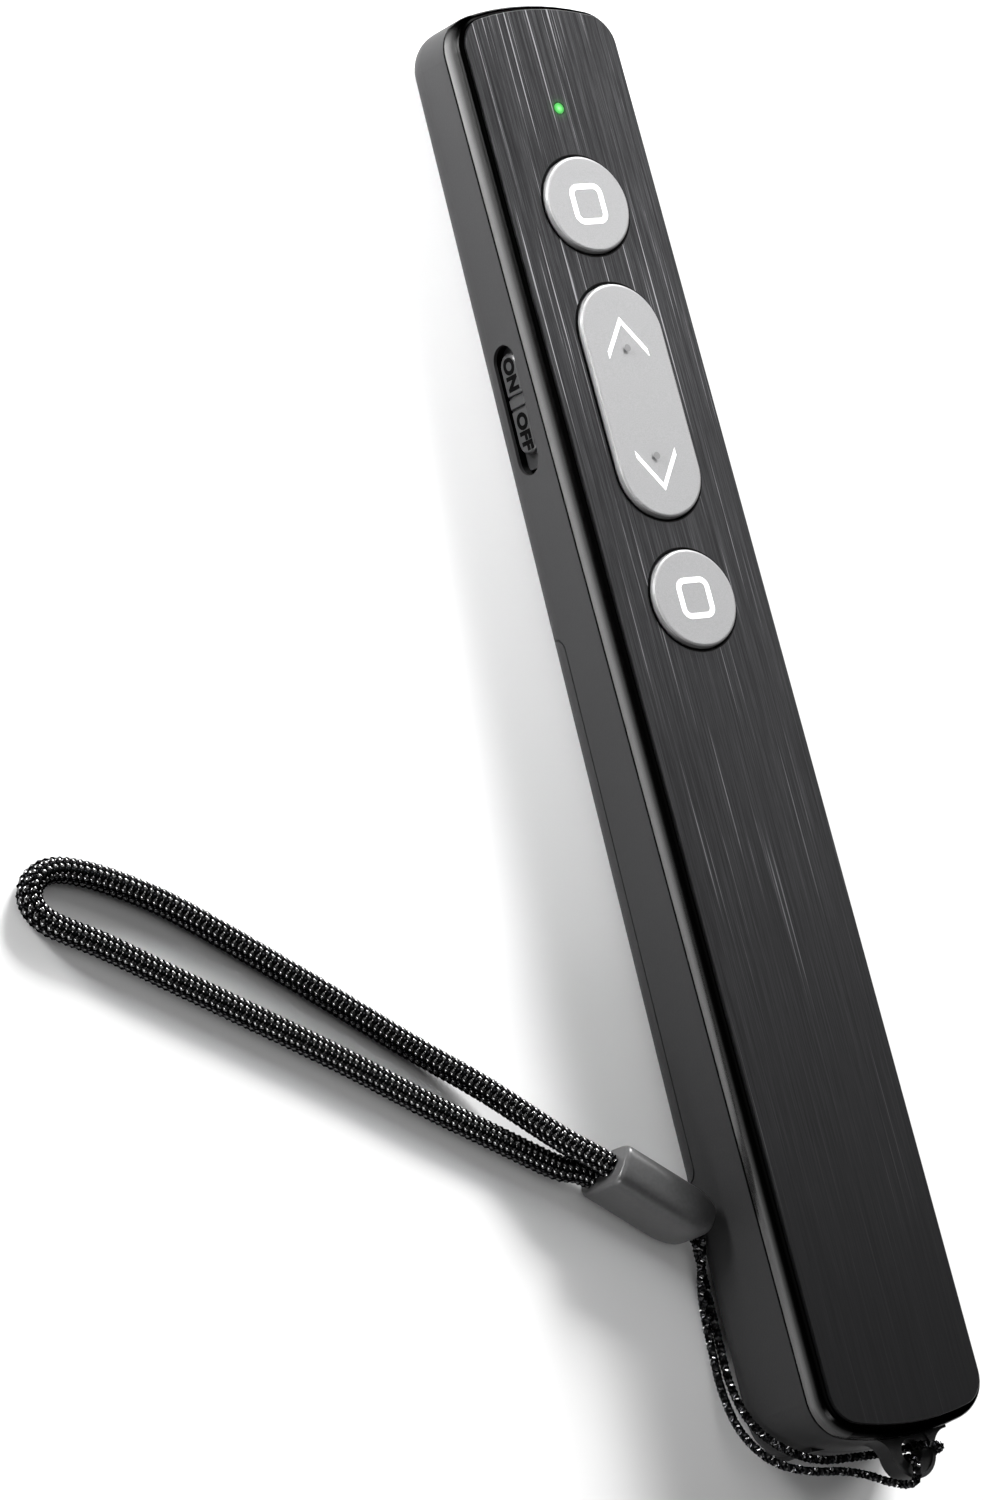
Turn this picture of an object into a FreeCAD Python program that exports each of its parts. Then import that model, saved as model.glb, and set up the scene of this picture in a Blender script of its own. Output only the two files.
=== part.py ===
import FreeCAD, Part
import math
import os
import re

import Sketcher

# A slim hand-held wireless presentation clicker with its wrist strap, lying on its flat back.
# +Y runs to the top end, +Z rises from the back to the keys, and the origin is under the middle of
# the clicker on the surface that it lies on.
#
# The clicker is a wedge: its face leans towards the top end, so it is made in two frames.
#   Back frame: housing, door, cell, power switch and receiver, square to the flat back.
#   Front frame: plate, cover, keys and board, square to the face, with z = 0 on the plate's face.
# Both have y = 0 at the middle of the face plate.

SIZES = {
    # outline and shell of the body
    "body_width": 23.1, "body_end_radius": 35.0, "body_corner_radius": 4.65, "seam_depth": 2.8,
    "seam_relief": 0.12, "bezel_step": 0.4, "bezel_width": 1.02, "bezel_end": 1.05, "bezel_drop": 1.9,
    "bezel_round": 0.65, "cover_web": 0.8, "wall": 1.3, "floor_thickness": 1.0, "back_round": 3.5,
    "wedge_rise": 4.82, "overrun": 2.0,
    # face plate and its adhesive
    "plate_thickness": 0.6, "plate_chamfer": 0.08, "tape_thickness": 0.1, "tape_margin": 1.0,
    "seat_gap": 0.03,
    # keys and status light along the face, up from the bottom key
    "bottom_key_y": 11.86, "key_spacing": 3.625, "led_spacing": 5.79, "led_margin": 12.7,
    "key_width": 11.2, "page_key_length": 27.0, "key_proud": 0.59, "key_round": 0.37,
    "key_gap": 0.15, "key_play": 0.1, "flange_rim": 0.6, "flange_thickness": 0.6,
    "post_length": 0.55, "post_radius": 1.5, "pivot_radius": 0.45, "pivot_reach": 1.3,
    "pivot_rib": 3.0, "post_inset": 4.0,
    # tactile switches under the keys
    "switch_size": 4.5, "switch_height": 1.3, "switch_show": 0.55, "switch_base": 0.2,
    "plunger_radius": 0.8, "plunger_gap": 0.2, "plunger_travel": 0.4,
    # circuit board and its screws
    "board_tail": 4.96, "board_end_gap": 4.4, "board_side_gap": 0.95, "board_corner": 3.5,
    "board_thickness": 1.0, "board_boss_radius": 1.7, "board_screw_inset": 1.9,
    "board_screw_ahead": 6.14, "board_screw_high_inset": 2.9, "board_screw_above": 4.3,
    "board_screw_length": 3.4, "screw_shank_radius": 0.7, "screw_head_radius": 1.4,
    "screw_head_height": 0.9, "screw_gap": 0.12,
    # status light and parts on the board
    "led_radius": 0.65, "led_pipe_flange": 0.55, "led_chip_width": 1.6, "led_chip_height": 0.8,
    "hole_gap": 0.03, "chip_size": 5.0, "chip_height": 0.9, "chip_behind": 4.2, "crystal_length": 3.2,
    "crystal_width": 2.5, "crystal_height": 0.7, "crystal_behind": 6.31,
    # power switch in the left wall
    "slot_ahead": 1.865, "slot_z": 5.32, "knob_length": 11.3, "knob_height": 2.9,
    "knob_side_gap": 0.375, "knob_end_gap": 1.0, "knob_stop_gap": 0.1, "knob_recess": 0.4,
    "knob_bevel": 0.2, "knob_groove": 0.35, "knob_groove_width": 0.4, "knob_groove_spread": 1.4,
    "knob_flange": 0.5, "knob_flange_rim": 0.75, "knob_run_gap": 0.1, "knob_travel": 2.3,
    "switch_body_length": 8.6, "switch_body_width": 3.6, "switch_body_height": 2.8,
    "switch_inset": 0.9, "lever_width": 1.6, "lever_height": 1.4, "lever_depth": 1.2,
    "lever_gap": 0.2,
    # battery cell, its bay and contacts
    "cell_diameter": 10.4, "cell_length": 44.5, "cell_nub_radius": 1.9, "cell_nub_length": 1.0,
    "cell_ahead": 9.2, "cell_seat": 0.05, "cell_headroom": 0.17, "bay_side_gap": 0.4,
    "bay_wall": 1.0, "bay_top": 8.0, "contact_thickness": 0.4, "contact_gap": 0.05,
    "contact_width": 7.0, "bow_depth": 1.1, "bow_half_chord": 2.6, "bow_thickness": 0.3,
    "tail_width": 2.0, "strip_width": 0.4,
    # battery door
    "door_tail": 1.2, "door_overlap": 4.2, "door_side": 3.6, "door_corner": 1.5, "door_gap": 0.15,
    "landing_side": 1.85, "landing_reach": 2.0, "guide_reach": 5.0, "guide_length": 8.0,
    "guide_gap": 0.5, "grip_length": 8.0, "grip_width": 2.2, "grip_depth": 0.35,
    # screws that join the halves
    "case_screw_x": 6.0, "case_screw_behind": 3.3, "case_boss_radius": 2.2, "case_boss_gap": 0.25,
    "case_boss_depth": 6.2, "case_screw_length": 7.5,
    # plug-in receiver in the lower end
    "receiver_width": 15.0, "receiver_low": 1.0, "receiver_high": 6.8, "receiver_corner": 0.8,
    "receiver_gap": 0.12, "receiver_depth": 5.9, "plug_width": 12.0, "plug_height": 4.5,
    "plug_length": 12.8, "plug_wall": 0.3, "tongue_height": 1.8, "tongue_gap": 0.1,
    "pad_width": 1.0, "pad_length": 8.0, "pad_thickness": 0.1, "pad_pitch": 2.4,
    "receiver_end_gap": 1.2, "receiver_box_wall": 1.0, "tail_space": 10.9,
    # strap lug in the lower end
    "lug_x": 1.25, "lug_ahead": 1.55, "lug_radius": 3.05, "lug_root_half": 5.3, "lug_root_in": 0.3,
    "lug_front": 3.0, "lug_thickness": 2.2, "lug_hole_radius": 1.4, "lug_rim": 0.4,
    "lug_recess": 0.25,
    # wrist strap
    "cord_diameter": 2.75, "string_diameter": 0.95, "connector_length": 13.0,
    "connector_width": 5.1, "connector_height": 7.7, "connector_round": 2.0,
    "connector_x": -23.68, "connector_y": -46.96, "connector_ahead": 12.2, "connector_aside": -8.8,
}

# What follows from the sizes. A place named ..._y is measured along the clicker.
DERIVED = {
    # stations, chained from the bottom key to both ends
    "page_key_y": "bottom_key_y + key_width / 2 + key_spacing + page_key_length / 2",
    "top_key_y": "page_key_y + page_key_length / 2 + key_spacing + key_width / 2",
    "led_y": "top_key_y + key_width / 2 + led_spacing",
    "top_end_y": "led_y + led_margin",
    "page_post_spread": "page_key_length / 2 - post_inset",
    "board_low_y": "bottom_key_y - board_tail",
    "board_high_y": "top_end_y - board_end_gap",
    "board_screw_low_y": "bottom_key_y + board_screw_ahead",
    "board_screw_high_y": "led_y + board_screw_above",
    "chip_y": "led_y - chip_behind",
    "crystal_y": "top_key_y - crystal_behind",
    "cell_tip_y": "board_low_y - cell_ahead",
    "cell_low": "cell_tip_y - cell_length",
    "case_screw_y": "board_low_y - case_screw_behind",
    "bay_high": "cell_tip_y + contact_gap * 2 + contact_thickness",
    "bay_low": "cell_low - contact_gap * 2 - contact_thickness - bow_depth",
    "door_high_y": "board_low_y + door_overlap",
    "door_low_y": "bay_low - door_tail",
    "receiver_reach": "receiver_depth + plug_length + receiver_end_gap + receiver_box_wall",
    "low_end_y": "door_low_y - tail_space - receiver_reach",
    "body_length": "top_end_y - low_end_y",
    "middle_y": "(top_end_y + low_end_y) / 2",
    "lug_y": "lug_ahead - low_end_y",
    "lug_root_y": "-low_end_y - lug_root_in",
    # widths
    "inner_half": "body_width / 2 - wall",
    "plate_width": "body_width - bezel_width * 2",
    "plate_length": "body_length - bezel_end * 2",
    "plate_end_radius": "body_end_radius - bezel_width",
    "plate_corner_radius": "body_corner_radius - bezel_end",
    "board_width": "(inner_half - board_side_gap) * 2",
    "board_screw_x": "board_width / 2 - board_screw_inset",
    "board_screw_high_x": "board_width / 2 - board_screw_high_inset",
    "landing_half": "inner_half - landing_side",
    "bay_half": "cell_diameter / 2 + bay_side_gap",
    "bay_outer": "bay_half + bay_wall",
    # power switch
    "slot_length": "knob_length + knob_travel + knob_end_gap + knob_stop_gap",
    "slot_height": "knob_height + knob_side_gap * 2",
    "slot_y": "page_key_y + slot_ahead",
    "knob_y": "slot_y + slot_length / 2 - knob_end_gap - knob_length / 2",
    # lean of the face
    "slope": "wedge_rise / plate_length",
    "cosine": "1 / sqrt(1 + slope ^ 2)",
    "sine": "slope * cosine",
    "end_y": "low_end_y * cosine - seam_depth * sine",
    # depths below the face
    "seat": "plate_thickness + tape_thickness",
    "web_under": "seat + cover_web",
    "flange_top": "web_under + key_play",
    "flange_under": "flange_top + flange_thickness",
    "post_end": "flange_under + post_length",
    "board_top": "post_end + switch_show + switch_height",
    "board_under": "board_top + board_thickness",
    # heights over the back; the face's is at y = 0: floor, cell and cover stacked at the cell's tip
    "cell_axis": "floor_thickness + cell_seat + cell_diameter / 2",
    "door_clear": "floor_thickness + door_gap",
    "face_height": ("floor_thickness + cell_seat + cell_diameter + cell_headroom"
                    " + web_under / cosine + cell_tip_y * slope"),
}

# Section shares of the strap connector: place along it, width, height and rounding.
CONNECTOR_SHARES = ((0.0, 0.86, 0.90, 0.70), (0.04, 0.95, 0.97, 0.90), (0.10, 1.0, 1.0, 1.0),
                    (0.70, 1.0, 1.0, 1.0), (0.82, 0.94, 0.97, 1.0), (0.92, 0.78, 0.90, 0.85),
                    (1.0, 0.52, 0.76, 0.58))

doc = FreeCAD.newDocument("Clicker")
sheet = doc.addObject("Spreadsheet::Sheet", "Sizes")
for row, (size_name, size) in enumerate(SIZES.items(), start=1):
    sheet.set(f"B{row}", str(size))
    sheet.setAlias(f"B{row}", size_name)
for row, (size_name, rule) in enumerate(DERIVED.items(), start=1):
    sheet.set(f"D{row}", "=" + rule)
    sheet.setAlias(f"D{row}", size_name)
    doc.recompute()


def linked(text):
    """The same expression with each size read from the sheet."""
    return re.sub(r"[a-z][a-z_]*", lambda word: "Sizes." + word.group()
                  if word.group() in SIZES or word.group() in DERIVED else word.group(), text)


def value(text):
    return float(sheet.evalExpression(text))


def vector(x="0", y="0", z="0"):
    return FreeCAD.Vector(value(x), value(y), value(z))


LEAN = FreeCAD.Rotation(FreeCAD.Vector(1, 0, 0), -math.degrees(math.atan(value("slope"))))
TOP_Y = value("top_end_y * cosine - (bezel_step + bezel_drop) * sine")
TIP_Y = value("-(lug_y + lug_radius) * cosine - (lug_front + lug_thickness) * sine")
BACK = FreeCAD.Placement(FreeCAD.Vector(0, -(TOP_Y + TIP_Y) / 2, 0), FreeCAD.Rotation())
FRONT = BACK.multiply(FreeCAD.Placement(vector(z="face_height"), LEAN))
NODES = []


def keep(item, frame):
    """Sets a finished piece into the clicker's frame and lists it as a node."""
    item.Label = item.Name
    item.Placement = frame.multiply(item.Placement)
    NODES.append(item)
    return item


# Sketches

def new_body(name):
    return doc.addObject("PartDesign::Body", name)


def new_sketch(body, name, role="XY_Plane", offset="0", leaning=False):
    """A sketch on an origin plane, moved along its normal; a leaning one lies in the front frame."""
    sketch = body.newObject("Sketcher::SketchObject", name)
    plane = [item for item in body.Origin.OriginFeatures if item.Role == role][0]
    sketch.AttachmentSupport = (plane, [""])
    sketch.MapMode = "FlatFace"
    shift = FreeCAD.Placement(vector(z=offset), FreeCAD.Rotation())
    if leaning:
        shift = FreeCAD.Placement(vector(z="face_height"), LEAN).multiply(shift)
    sketch.AttachmentOffset = shift
    if not leaning:
        sketch.setExpression("AttachmentOffset.Base.z", linked(offset))
    return sketch


def hold(sketch, edge, point, x, y):
    """Holds one point of an edge at two distances from the sketch's origin."""
    for kind, text in (("DistanceX", x), ("DistanceY", y)):
        number = sketch.addConstraint(Sketcher.Constraint(kind, -1, 1, edge, point, value(text)))
        sketch.setExpression(f"Constraints[{number}]", linked(text))


def hold_radius(sketch, edge, radius):
    number = sketch.addConstraint(Sketcher.Constraint("Radius", edge, value(radius)))
    sketch.setExpression(f"Constraints[{number}]", linked(radius))


def arc_between(start, end, radius, side):
    """The smaller arc from start to end, to the left of the way for side 1, to the right for -1."""
    half = (end - start).Length / 2
    way = (end - start).normalize()
    left = FreeCAD.Vector(-way.y, way.x, 0) * side
    rise = radius - math.sqrt(radius * radius - half * half)
    return Part.Arc(start, (start + end) * 0.5 + left * rise, end)


def outline(sketch, corners, bends=None):
    """A closed line through the corners; bends gives the edges that are arcs, as radius and side."""
    bends = bends or {}
    points = [vector(x, y) for x, y in corners]
    for number, corner in enumerate(corners):
        after = (number + 1) % len(corners)
        if number in bends:
            radius, side = bends[number]
            edge = sketch.addGeometry(arc_between(points[number], points[after], value(radius), side))
            hold_radius(sketch, edge, radius)
        else:
            edge = sketch.addGeometry(Part.LineSegment(points[number], points[after]))
        near = 1 if (sketch.getPoint(edge, 1) - points[number]).Length < (
            sketch.getPoint(edge, 2) - points[number]).Length else 2
        hold(sketch, edge, near, *corner)
        hold(sketch, edge, 3 - near, *corners[after])


def slab(sketch, half_width, half_length, end_radius, corner_radius, middle):
    """Long outline with straight sides, rounded corners and gently bowed ends."""
    inner = f"({end_radius} - {corner_radius})"
    across = f"({half_width} - {corner_radius})"
    rise = f"sqrt({inner}^2 - {across}^2)"
    side_y = f"({half_length} - {end_radius} + {rise})"
    touch_x = f"({across} * {end_radius} / {inner})"
    touch_y = f"({half_length} - {end_radius} + {rise} * {end_radius} / {inner})"
    corners = [(half_width, f"{middle} - {side_y}"), (half_width, f"{middle} + {side_y}"),
               (touch_x, f"{middle} + {touch_y}"), (f"-{touch_x}", f"{middle} + {touch_y}"),
               (f"-{half_width}", f"{middle} + {side_y}"), (f"-{half_width}", f"{middle} - {side_y}"),
               (f"-{touch_x}", f"{middle} - {touch_y}"), (touch_x, f"{middle} - {touch_y}")]
    corner = (corner_radius, -1)
    end = (end_radius, -1)
    outline(sketch, corners, {1: corner, 2: end, 3: corner, 5: corner, 6: end, 7: corner})


def stadium(sketch, half_width, half_length, x="0", y="0"):
    """Round-ended outline along the sketch's Y axis."""
    run = f"({half_length} - {half_width})"
    corners = [(f"{x} + {half_width}", f"{y} - {run}"), (f"{x} + {half_width}", f"{y} + {run}"),
               (x, f"{y} + {half_length}"), (f"{x} - {half_width}", f"{y} + {run}"),
               (f"{x} - {half_width}", f"{y} - {run}"), (x, f"{y} - {half_length}")]
    bend = (half_width, -1)
    outline(sketch, corners, {1: bend, 2: bend, 4: bend, 5: bend})


def lying_stadium(sketch, half_length, half_width, x="0", y="0"):
    """Round-ended outline along the sketch's X axis."""
    run = f"({half_length} - {half_width})"
    corners = [(f"{x} + {run}", f"{y} + {half_width}"), (f"{x} - {run}", f"{y} + {half_width}"),
               (f"{x} - {half_length}", y), (f"{x} - {run}", f"{y} - {half_width}"),
               (f"{x} + {run}", f"{y} - {half_width}"), (f"{x} + {half_length}", y)]
    bend = (half_width, -1)
    outline(sketch, corners, {1: bend, 2: bend, 4: bend, 5: bend})


def rectangle(sketch, left, right, low, high, corner=None):
    """Upright rectangle between four places, with round corners where a radius is given."""
    if corner is None:
        outline(sketch, [(left, low), (right, low), (right, high), (left, high)])
        return
    corners = [(f"{left} + {corner}", low), (f"{right} - {corner}", low),
               (right, f"{low} + {corner}"), (right, f"{high} - {corner}"),
               (f"{right} - {corner}", high), (f"{left} + {corner}", high),
               (left, f"{high} - {corner}"), (left, f"{low} + {corner}")]
    bend = (corner, -1)
    outline(sketch, corners, {1: bend, 3: bend, 5: bend, 7: bend})


def circle(sketch, radius, x="0", y="0"):
    edge = sketch.addGeometry(Part.Circle(vector(x, y), FreeCAD.Vector(0, 0, 1), value(radius)))
    hold(sketch, edge, 3, x, y)
    hold_radius(sketch, edge, radius)


# Features

def pad(body, sketch, length, down=False, both_ways=False):
    feature = body.newObject("PartDesign::Pad", sketch.Name + "_pad")
    feature.Profile = sketch
    feature.setExpression("Length", linked(length))
    feature.Reversed = down
    if both_ways:
        feature.SideType = "Symmetric"
    doc.recompute()
    return feature


def pocket(body, sketch, length=None, up=False, both_ways=False):
    """Cuts a sketch into the body, through all where no depth is given, and checks that it cut."""
    before = body.Shape.Volume
    feature = body.newObject("PartDesign::Pocket", sketch.Name + "_pocket")
    feature.Profile = sketch
    if length is None:
        feature.Type = "ThroughAll"
    else:
        feature.setExpression("Length", linked(length))
    feature.Reversed = up
    if both_ways:
        feature.SideType = "Symmetric"
    doc.recompute()
    if not body.Shape.Volume < before:
        raise ValueError(f"{feature.Name} cut nothing")
    return feature


def round_edges(body, name, height, radius, kind="PartDesign::Fillet", choose=None, axis="Z"):
    """Fillets or chamfers the edges that lie flat at one level of the body's own frame."""
    level = value(height)
    tip = body.Tip
    near = value("seat_gap / 100")
    names = []
    for number, edge in enumerate(tip.Shape.Edges, start=1):
        low = getattr(edge.BoundBox, axis + "Min")
        high = getattr(edge.BoundBox, axis + "Max")
        if abs(low - level) < near and abs(high - level) < near:
            if choose is None or choose(edge):
                names.append(f"Edge{number}")
    feature = body.newObject(kind, name)
    feature.Base = (tip, names)
    feature.setExpression("Radius" if kind.endswith("Fillet") else "Size", linked(radius))
    doc.recompute()
    return feature


# Primitives

def block(name, across, along, high, x="0", y="0", z="0"):
    """A box, centred on x and y, with its base at z."""
    item = doc.addObject("Part::Box", name)
    item.setExpression("Length", linked(across))
    item.setExpression("Width", linked(along))
    item.setExpression("Height", linked(high))
    item.Placement.Base = vector(f"{x} - ({across}) / 2", f"{y} - ({along}) / 2", z)
    return item


def rod(name, radius, high, x="0", y="0", z="0", axis="z"):
    """A cylinder from its base centre, along one of the three axes."""
    turns = {"z": FreeCAD.Rotation(), "x": FreeCAD.Rotation(FreeCAD.Vector(0, 1, 0), 90),
             "y": FreeCAD.Rotation(FreeCAD.Vector(1, 0, 0), -90)}
    item = doc.addObject("Part::Cylinder", name)
    item.setExpression("Radius", linked(radius))
    item.setExpression("Height", linked(high))
    item.Placement = FreeCAD.Placement(vector(x, y, z), turns[axis])
    return item


def fuse(name, items):
    item = doc.addObject("Part::MultiFuse", name)
    item.Shapes = items
    return item


def cut(name, base, tool):
    item = doc.addObject("Part::Cut", name)
    item.Base = base
    item.Tool = tool
    return item


def group(name, items):
    """Like pieces that stay separate solids in one node."""
    item = doc.addObject("Part::Compound", name)
    item.Links = items
    return item


# Front: face plate, tape and cover

PLATE = ("plate_width / 2", "plate_length / 2", "plate_end_radius", "plate_corner_radius")
BODY = ("body_width / 2", "body_length / 2", "body_end_radius", "body_corner_radius")


SIDE_LOW = ("(body_length / 2 - body_end_radius - middle_y + sqrt((body_end_radius"
            " - body_corner_radius)^2 - (body_width / 2 - body_corner_radius)^2))")


def grown(shape, amount):
    """The outline's four sizes, all moved out by one amount."""
    return tuple(f"({size} + {amount})" for size in shape)


def face_openings(sketch, extra):
    """Holes for the light and the three keys, each with the same extra clearance."""
    circle(sketch, f"led_radius + hole_gap + {extra}", "0", "led_y")
    circle(sketch, f"key_width / 2 + key_gap + {extra}", "0", "top_key_y")
    circle(sketch, f"key_width / 2 + key_gap + {extra}", "0", "bottom_key_y")
    stadium(sketch, f"(key_width / 2 + key_gap + {extra})",
            f"(page_key_length / 2 + key_gap + {extra})", "0", "page_key_y")


def make_face_plate():
    body = new_body("face_plate")
    sheet_outline = new_sketch(body, "plate_outline", offset="-plate_thickness")
    slab(sheet_outline, *PLATE, "middle_y")
    pad(body, sheet_outline, "plate_thickness")
    holes = new_sketch(body, "plate_holes")
    face_openings(holes, "0")
    pocket(body, holes)
    round_edges(body, "plate_edge", "0", "plate_chamfer", "PartDesign::Chamfer")
    keep(body, FRONT)


def make_plate_tape():
    body = new_body("plate_tape")
    tape_outline = new_sketch(body, "tape_outline", offset="-seat")
    slab(tape_outline, *grown(PLATE, "-tape_margin"), "middle_y")
    pad(body, tape_outline, "tape_thickness")
    holes = new_sketch(body, "tape_holes")
    face_openings(holes, "tape_margin / 2")
    pocket(body, holes)
    keep(body, FRONT)


def board_screw_places():
    return [(f"{side} * {x}", y) for x, y in (("board_screw_x", "board_screw_low_y"),
                                              ("board_screw_high_x", "board_screw_high_y"))
            for side in (-1, 1)]


def roll_bezel(body, spine):
    """Rolls the cover's upper edge off in two arcs, flat beside the plate and steep at the side."""
    span = "(bezel_width - bezel_round)"
    steep = f"((bezel_width^2 + bezel_drop^2 - 2 * bezel_drop * bezel_round) / (2 * {span}))"
    across = f"(({steep} - bezel_width) / ({steep} - bezel_round))"
    down = f"((bezel_drop - bezel_round) / ({steep} - bezel_round))"
    side = "(body_width / 2)"
    roll = new_sketch(body, "bezel_roll", role="XZ_Plane", offset=SIDE_LOW)
    outline(roll, [(f"{side} - bezel_width", "-bezel_step"),
                   (f"{side} - bezel_width + bezel_round * {across}",
                    f"-bezel_step - bezel_round * (1 - {down})"),
                   (side, "-bezel_step - bezel_drop"), (f"{side} + overrun", "-bezel_step - bezel_drop"),
                   (f"{side} + overrun", "overrun"), (f"{side} - bezel_width", "overrun")],
            {0: ("bezel_round", 1), 1: (steep, 1)})
    before = body.Shape.Volume
    feature = body.newObject("PartDesign::SubtractivePipe", "bezel_sweep")
    feature.Profile = roll
    feature.Spine = (spine, [f"Edge{number}" for number in range(1, 9)])
    doc.recompute()
    if not body.Shape.Volume < before:
        raise ValueError("the bezel sweep cut nothing")


def make_front_cover():
    body = new_body("front_cover")
    cover = new_sketch(body, "cover_outline", offset="-seam_depth")
    slab(cover, *BODY, "middle_y")
    pad(body, cover, "seam_depth - bezel_step")
    roll_bezel(body, cover)
    round_edges(body, "seam_relief", "-seam_depth", "seam_relief", "PartDesign::Chamfer")
    seat = new_sketch(body, "plate_seat", offset="-bezel_step")
    slab(seat, *grown(PLATE, "seat_gap"), "middle_y")
    pocket(body, seat, "seat - bezel_step")
    cavity = new_sketch(body, "cover_cavity", offset="-seam_depth")
    slab(cavity, *grown(BODY, "-wall"), "middle_y")
    pocket(body, cavity, "seam_depth - web_under", up=True)
    openings = new_sketch(body, "cover_openings")
    face_openings(openings, "0")
    pocket(body, openings)
    bosses = new_sketch(body, "board_bosses", offset="-web_under")
    for x, y in board_screw_places():
        circle(bosses, "board_boss_radius", x, y)
        circle(bosses, "screw_shank_radius + screw_gap", x, y)
    pad(body, bosses, "board_top - web_under", down=True)
    case_bosses = new_sketch(body, "case_bosses", offset="-web_under")
    for side in (-1, 1):
        circle(case_bosses, "case_boss_radius", f"{side} * case_screw_x", "case_screw_y")
        circle(case_bosses, "screw_shank_radius + screw_gap * 2", f"{side} * case_screw_x",
               "case_screw_y")
    pad(body, case_bosses, "case_boss_depth - web_under", down=True)
    keep(body, FRONT)


# Keys: caps that stand proud of the plate, held by a flange or by pivot pins under the cover

def key_cap(name, draw, under):
    body = new_body(name)
    cap = new_sketch(body, name + "_cap", offset=f"-{under}")
    draw(cap)
    pad(body, cap, f"{under} + key_proud")
    round_edges(body, name + "_edge", "key_proud", "key_round")
    return body


def make_round_key(name, y):
    body = key_cap(name, lambda sketch: circle(sketch, "key_width / 2", "0", y), "flange_top")
    flange = new_sketch(body, name + "_flange", offset="-flange_under")
    circle(flange, "key_width / 2 + flange_rim", "0", y)
    pad(body, flange, "flange_thickness")
    post = new_sketch(body, name + "_post", offset="-post_end")
    circle(post, "post_radius", "0", y)
    pad(body, post, "post_length")
    keep(body, FRONT)


def make_page_key():
    body = key_cap("page_key", lambda sketch: stadium(sketch, "(key_width / 2)", "(page_key_length / 2)",
                                                      "0", "page_key_y"), "flange_top")
    rib = new_sketch(body, "page_key_rib", offset="-(flange_under + pivot_radius)")
    rectangle(rib, "-key_width / 2", "key_width / 2", "page_key_y - pivot_rib / 2",
              "page_key_y + pivot_rib / 2")
    pad(body, rib, "flange_thickness + pivot_radius")
    posts = new_sketch(body, "page_key_posts", offset="-post_end")
    for side in (-1, 1):
        circle(posts, "post_radius", "0", f"page_key_y + {side} * page_post_spread")
    pad(body, posts, "post_end - flange_top")
    pins = new_sketch(body, "page_key_pins", role="YZ_Plane")
    circle(pins, "pivot_radius", "page_key_y", "-(flange_top + pivot_radius)")
    pad(body, pins, "key_width + pivot_reach * 2", both_ways=True)
    keep(body, FRONT)


KEY_SWITCHES = (("top", "top_key_y"), ("page_up", "(page_key_y + page_post_spread)"),
                ("page_down", "(page_key_y - page_post_spread)"), ("bottom", "bottom_key_y"))


def make_key_switches():
    """Four low tactile switches, each a bored body with the plunger that its key pushes."""
    for name, y in KEY_SWITCHES:
        case = block(name + "_case", "switch_size", "switch_size", "switch_height",
                     y=y, z="-board_top")
        bore = rod(name + "_bore", "plunger_radius + plunger_gap", "switch_height",
                   y=y, z="-board_top + switch_base")
        keep(cut(name + "_switch", case, bore), FRONT)
        keep(rod(name + "_plunger", "plunger_radius",
                 "board_top - post_end - switch_base - plunger_travel", y=y,
                 z="-board_top + switch_base + plunger_travel"), FRONT)


# Circuit board and what is on it

def make_circuit_board():
    body = new_body("circuit_board")
    board = new_sketch(body, "board_outline", offset="-board_under")
    half = "(board_width / 2)"
    corner = "board_corner"
    outline(board, [(f"-{half}", "board_low_y"), (half, "board_low_y"),
                    (half, f"board_high_y - {corner}"), (f"{half} - {corner}", "board_high_y"),
                    (f"{corner} - {half}", "board_high_y"), (f"-{half}", f"board_high_y - {corner}")],
            {2: (corner, -1), 4: (corner, -1)})
    pad(body, board, "board_thickness")
    holes = new_sketch(body, "board_holes", offset="-board_top")
    for x, y in board_screw_places():
        circle(holes, "screw_shank_radius + screw_gap", x, y)
    pocket(body, holes)
    keep(body, FRONT)


def make_board_parts():
    keep(block("radio_chip", "chip_size", "chip_size", "chip_height", x="board_width / 4",
               y="chip_y", z="-board_top"), FRONT)
    keep(block("crystal", "crystal_width", "crystal_length", "crystal_height", x="-board_width / 4",
               y="crystal_y", z="-board_top"), FRONT)
    keep(block("status_led", "led_chip_width", "led_chip_width", "led_chip_height", y="led_y",
               z="-board_top"), FRONT)
    pipe = rod("led_pipe", "led_radius", "board_top - led_chip_height - key_play", y="led_y",
               z="-board_top + led_chip_height + key_play")
    rim = rod("led_rim", "led_radius + led_pipe_flange", "flange_thickness", y="led_y",
              z="-web_under - flange_thickness")
    keep(fuse("led_window", [pipe, rim]), FRONT)


def make_board_screws():
    screws = []
    for number, (x, y) in enumerate(board_screw_places(), start=1):
        head = rod(f"board_head_{number}", "screw_head_radius", "screw_head_height", x, y,
                   "-board_under - screw_head_height")
        shank = rod(f"board_shank_{number}", "screw_shank_radius", "board_screw_length", x, y,
                    "-board_under")
        screws.append(fuse(f"board_screw_{number}", [head, shank]))
    keep(group("board_screws", screws), FRONT)


# Rear housing: a moulded tub with the door's opening, inner bays, switch slot and strap lug

TUB = ("body_width / 2", "(body_length / 2 * cosine)", "body_end_radius", "body_corner_radius")
TUB_MIDDLE = "(middle_y * cosine - seam_depth * sine)"
TALL = "(face_height + wedge_rise)"


def solid_tub(body):
    """The outer form of the rear half, with its rounded back edge and no cavity."""
    name = body.Name
    base = new_sketch(body, name + "_base")
    slab(base, *TUB, TUB_MIDDLE)
    pad(body, base, TALL)
    round_edges(body, name + "_back_round", "0", "back_round")


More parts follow.
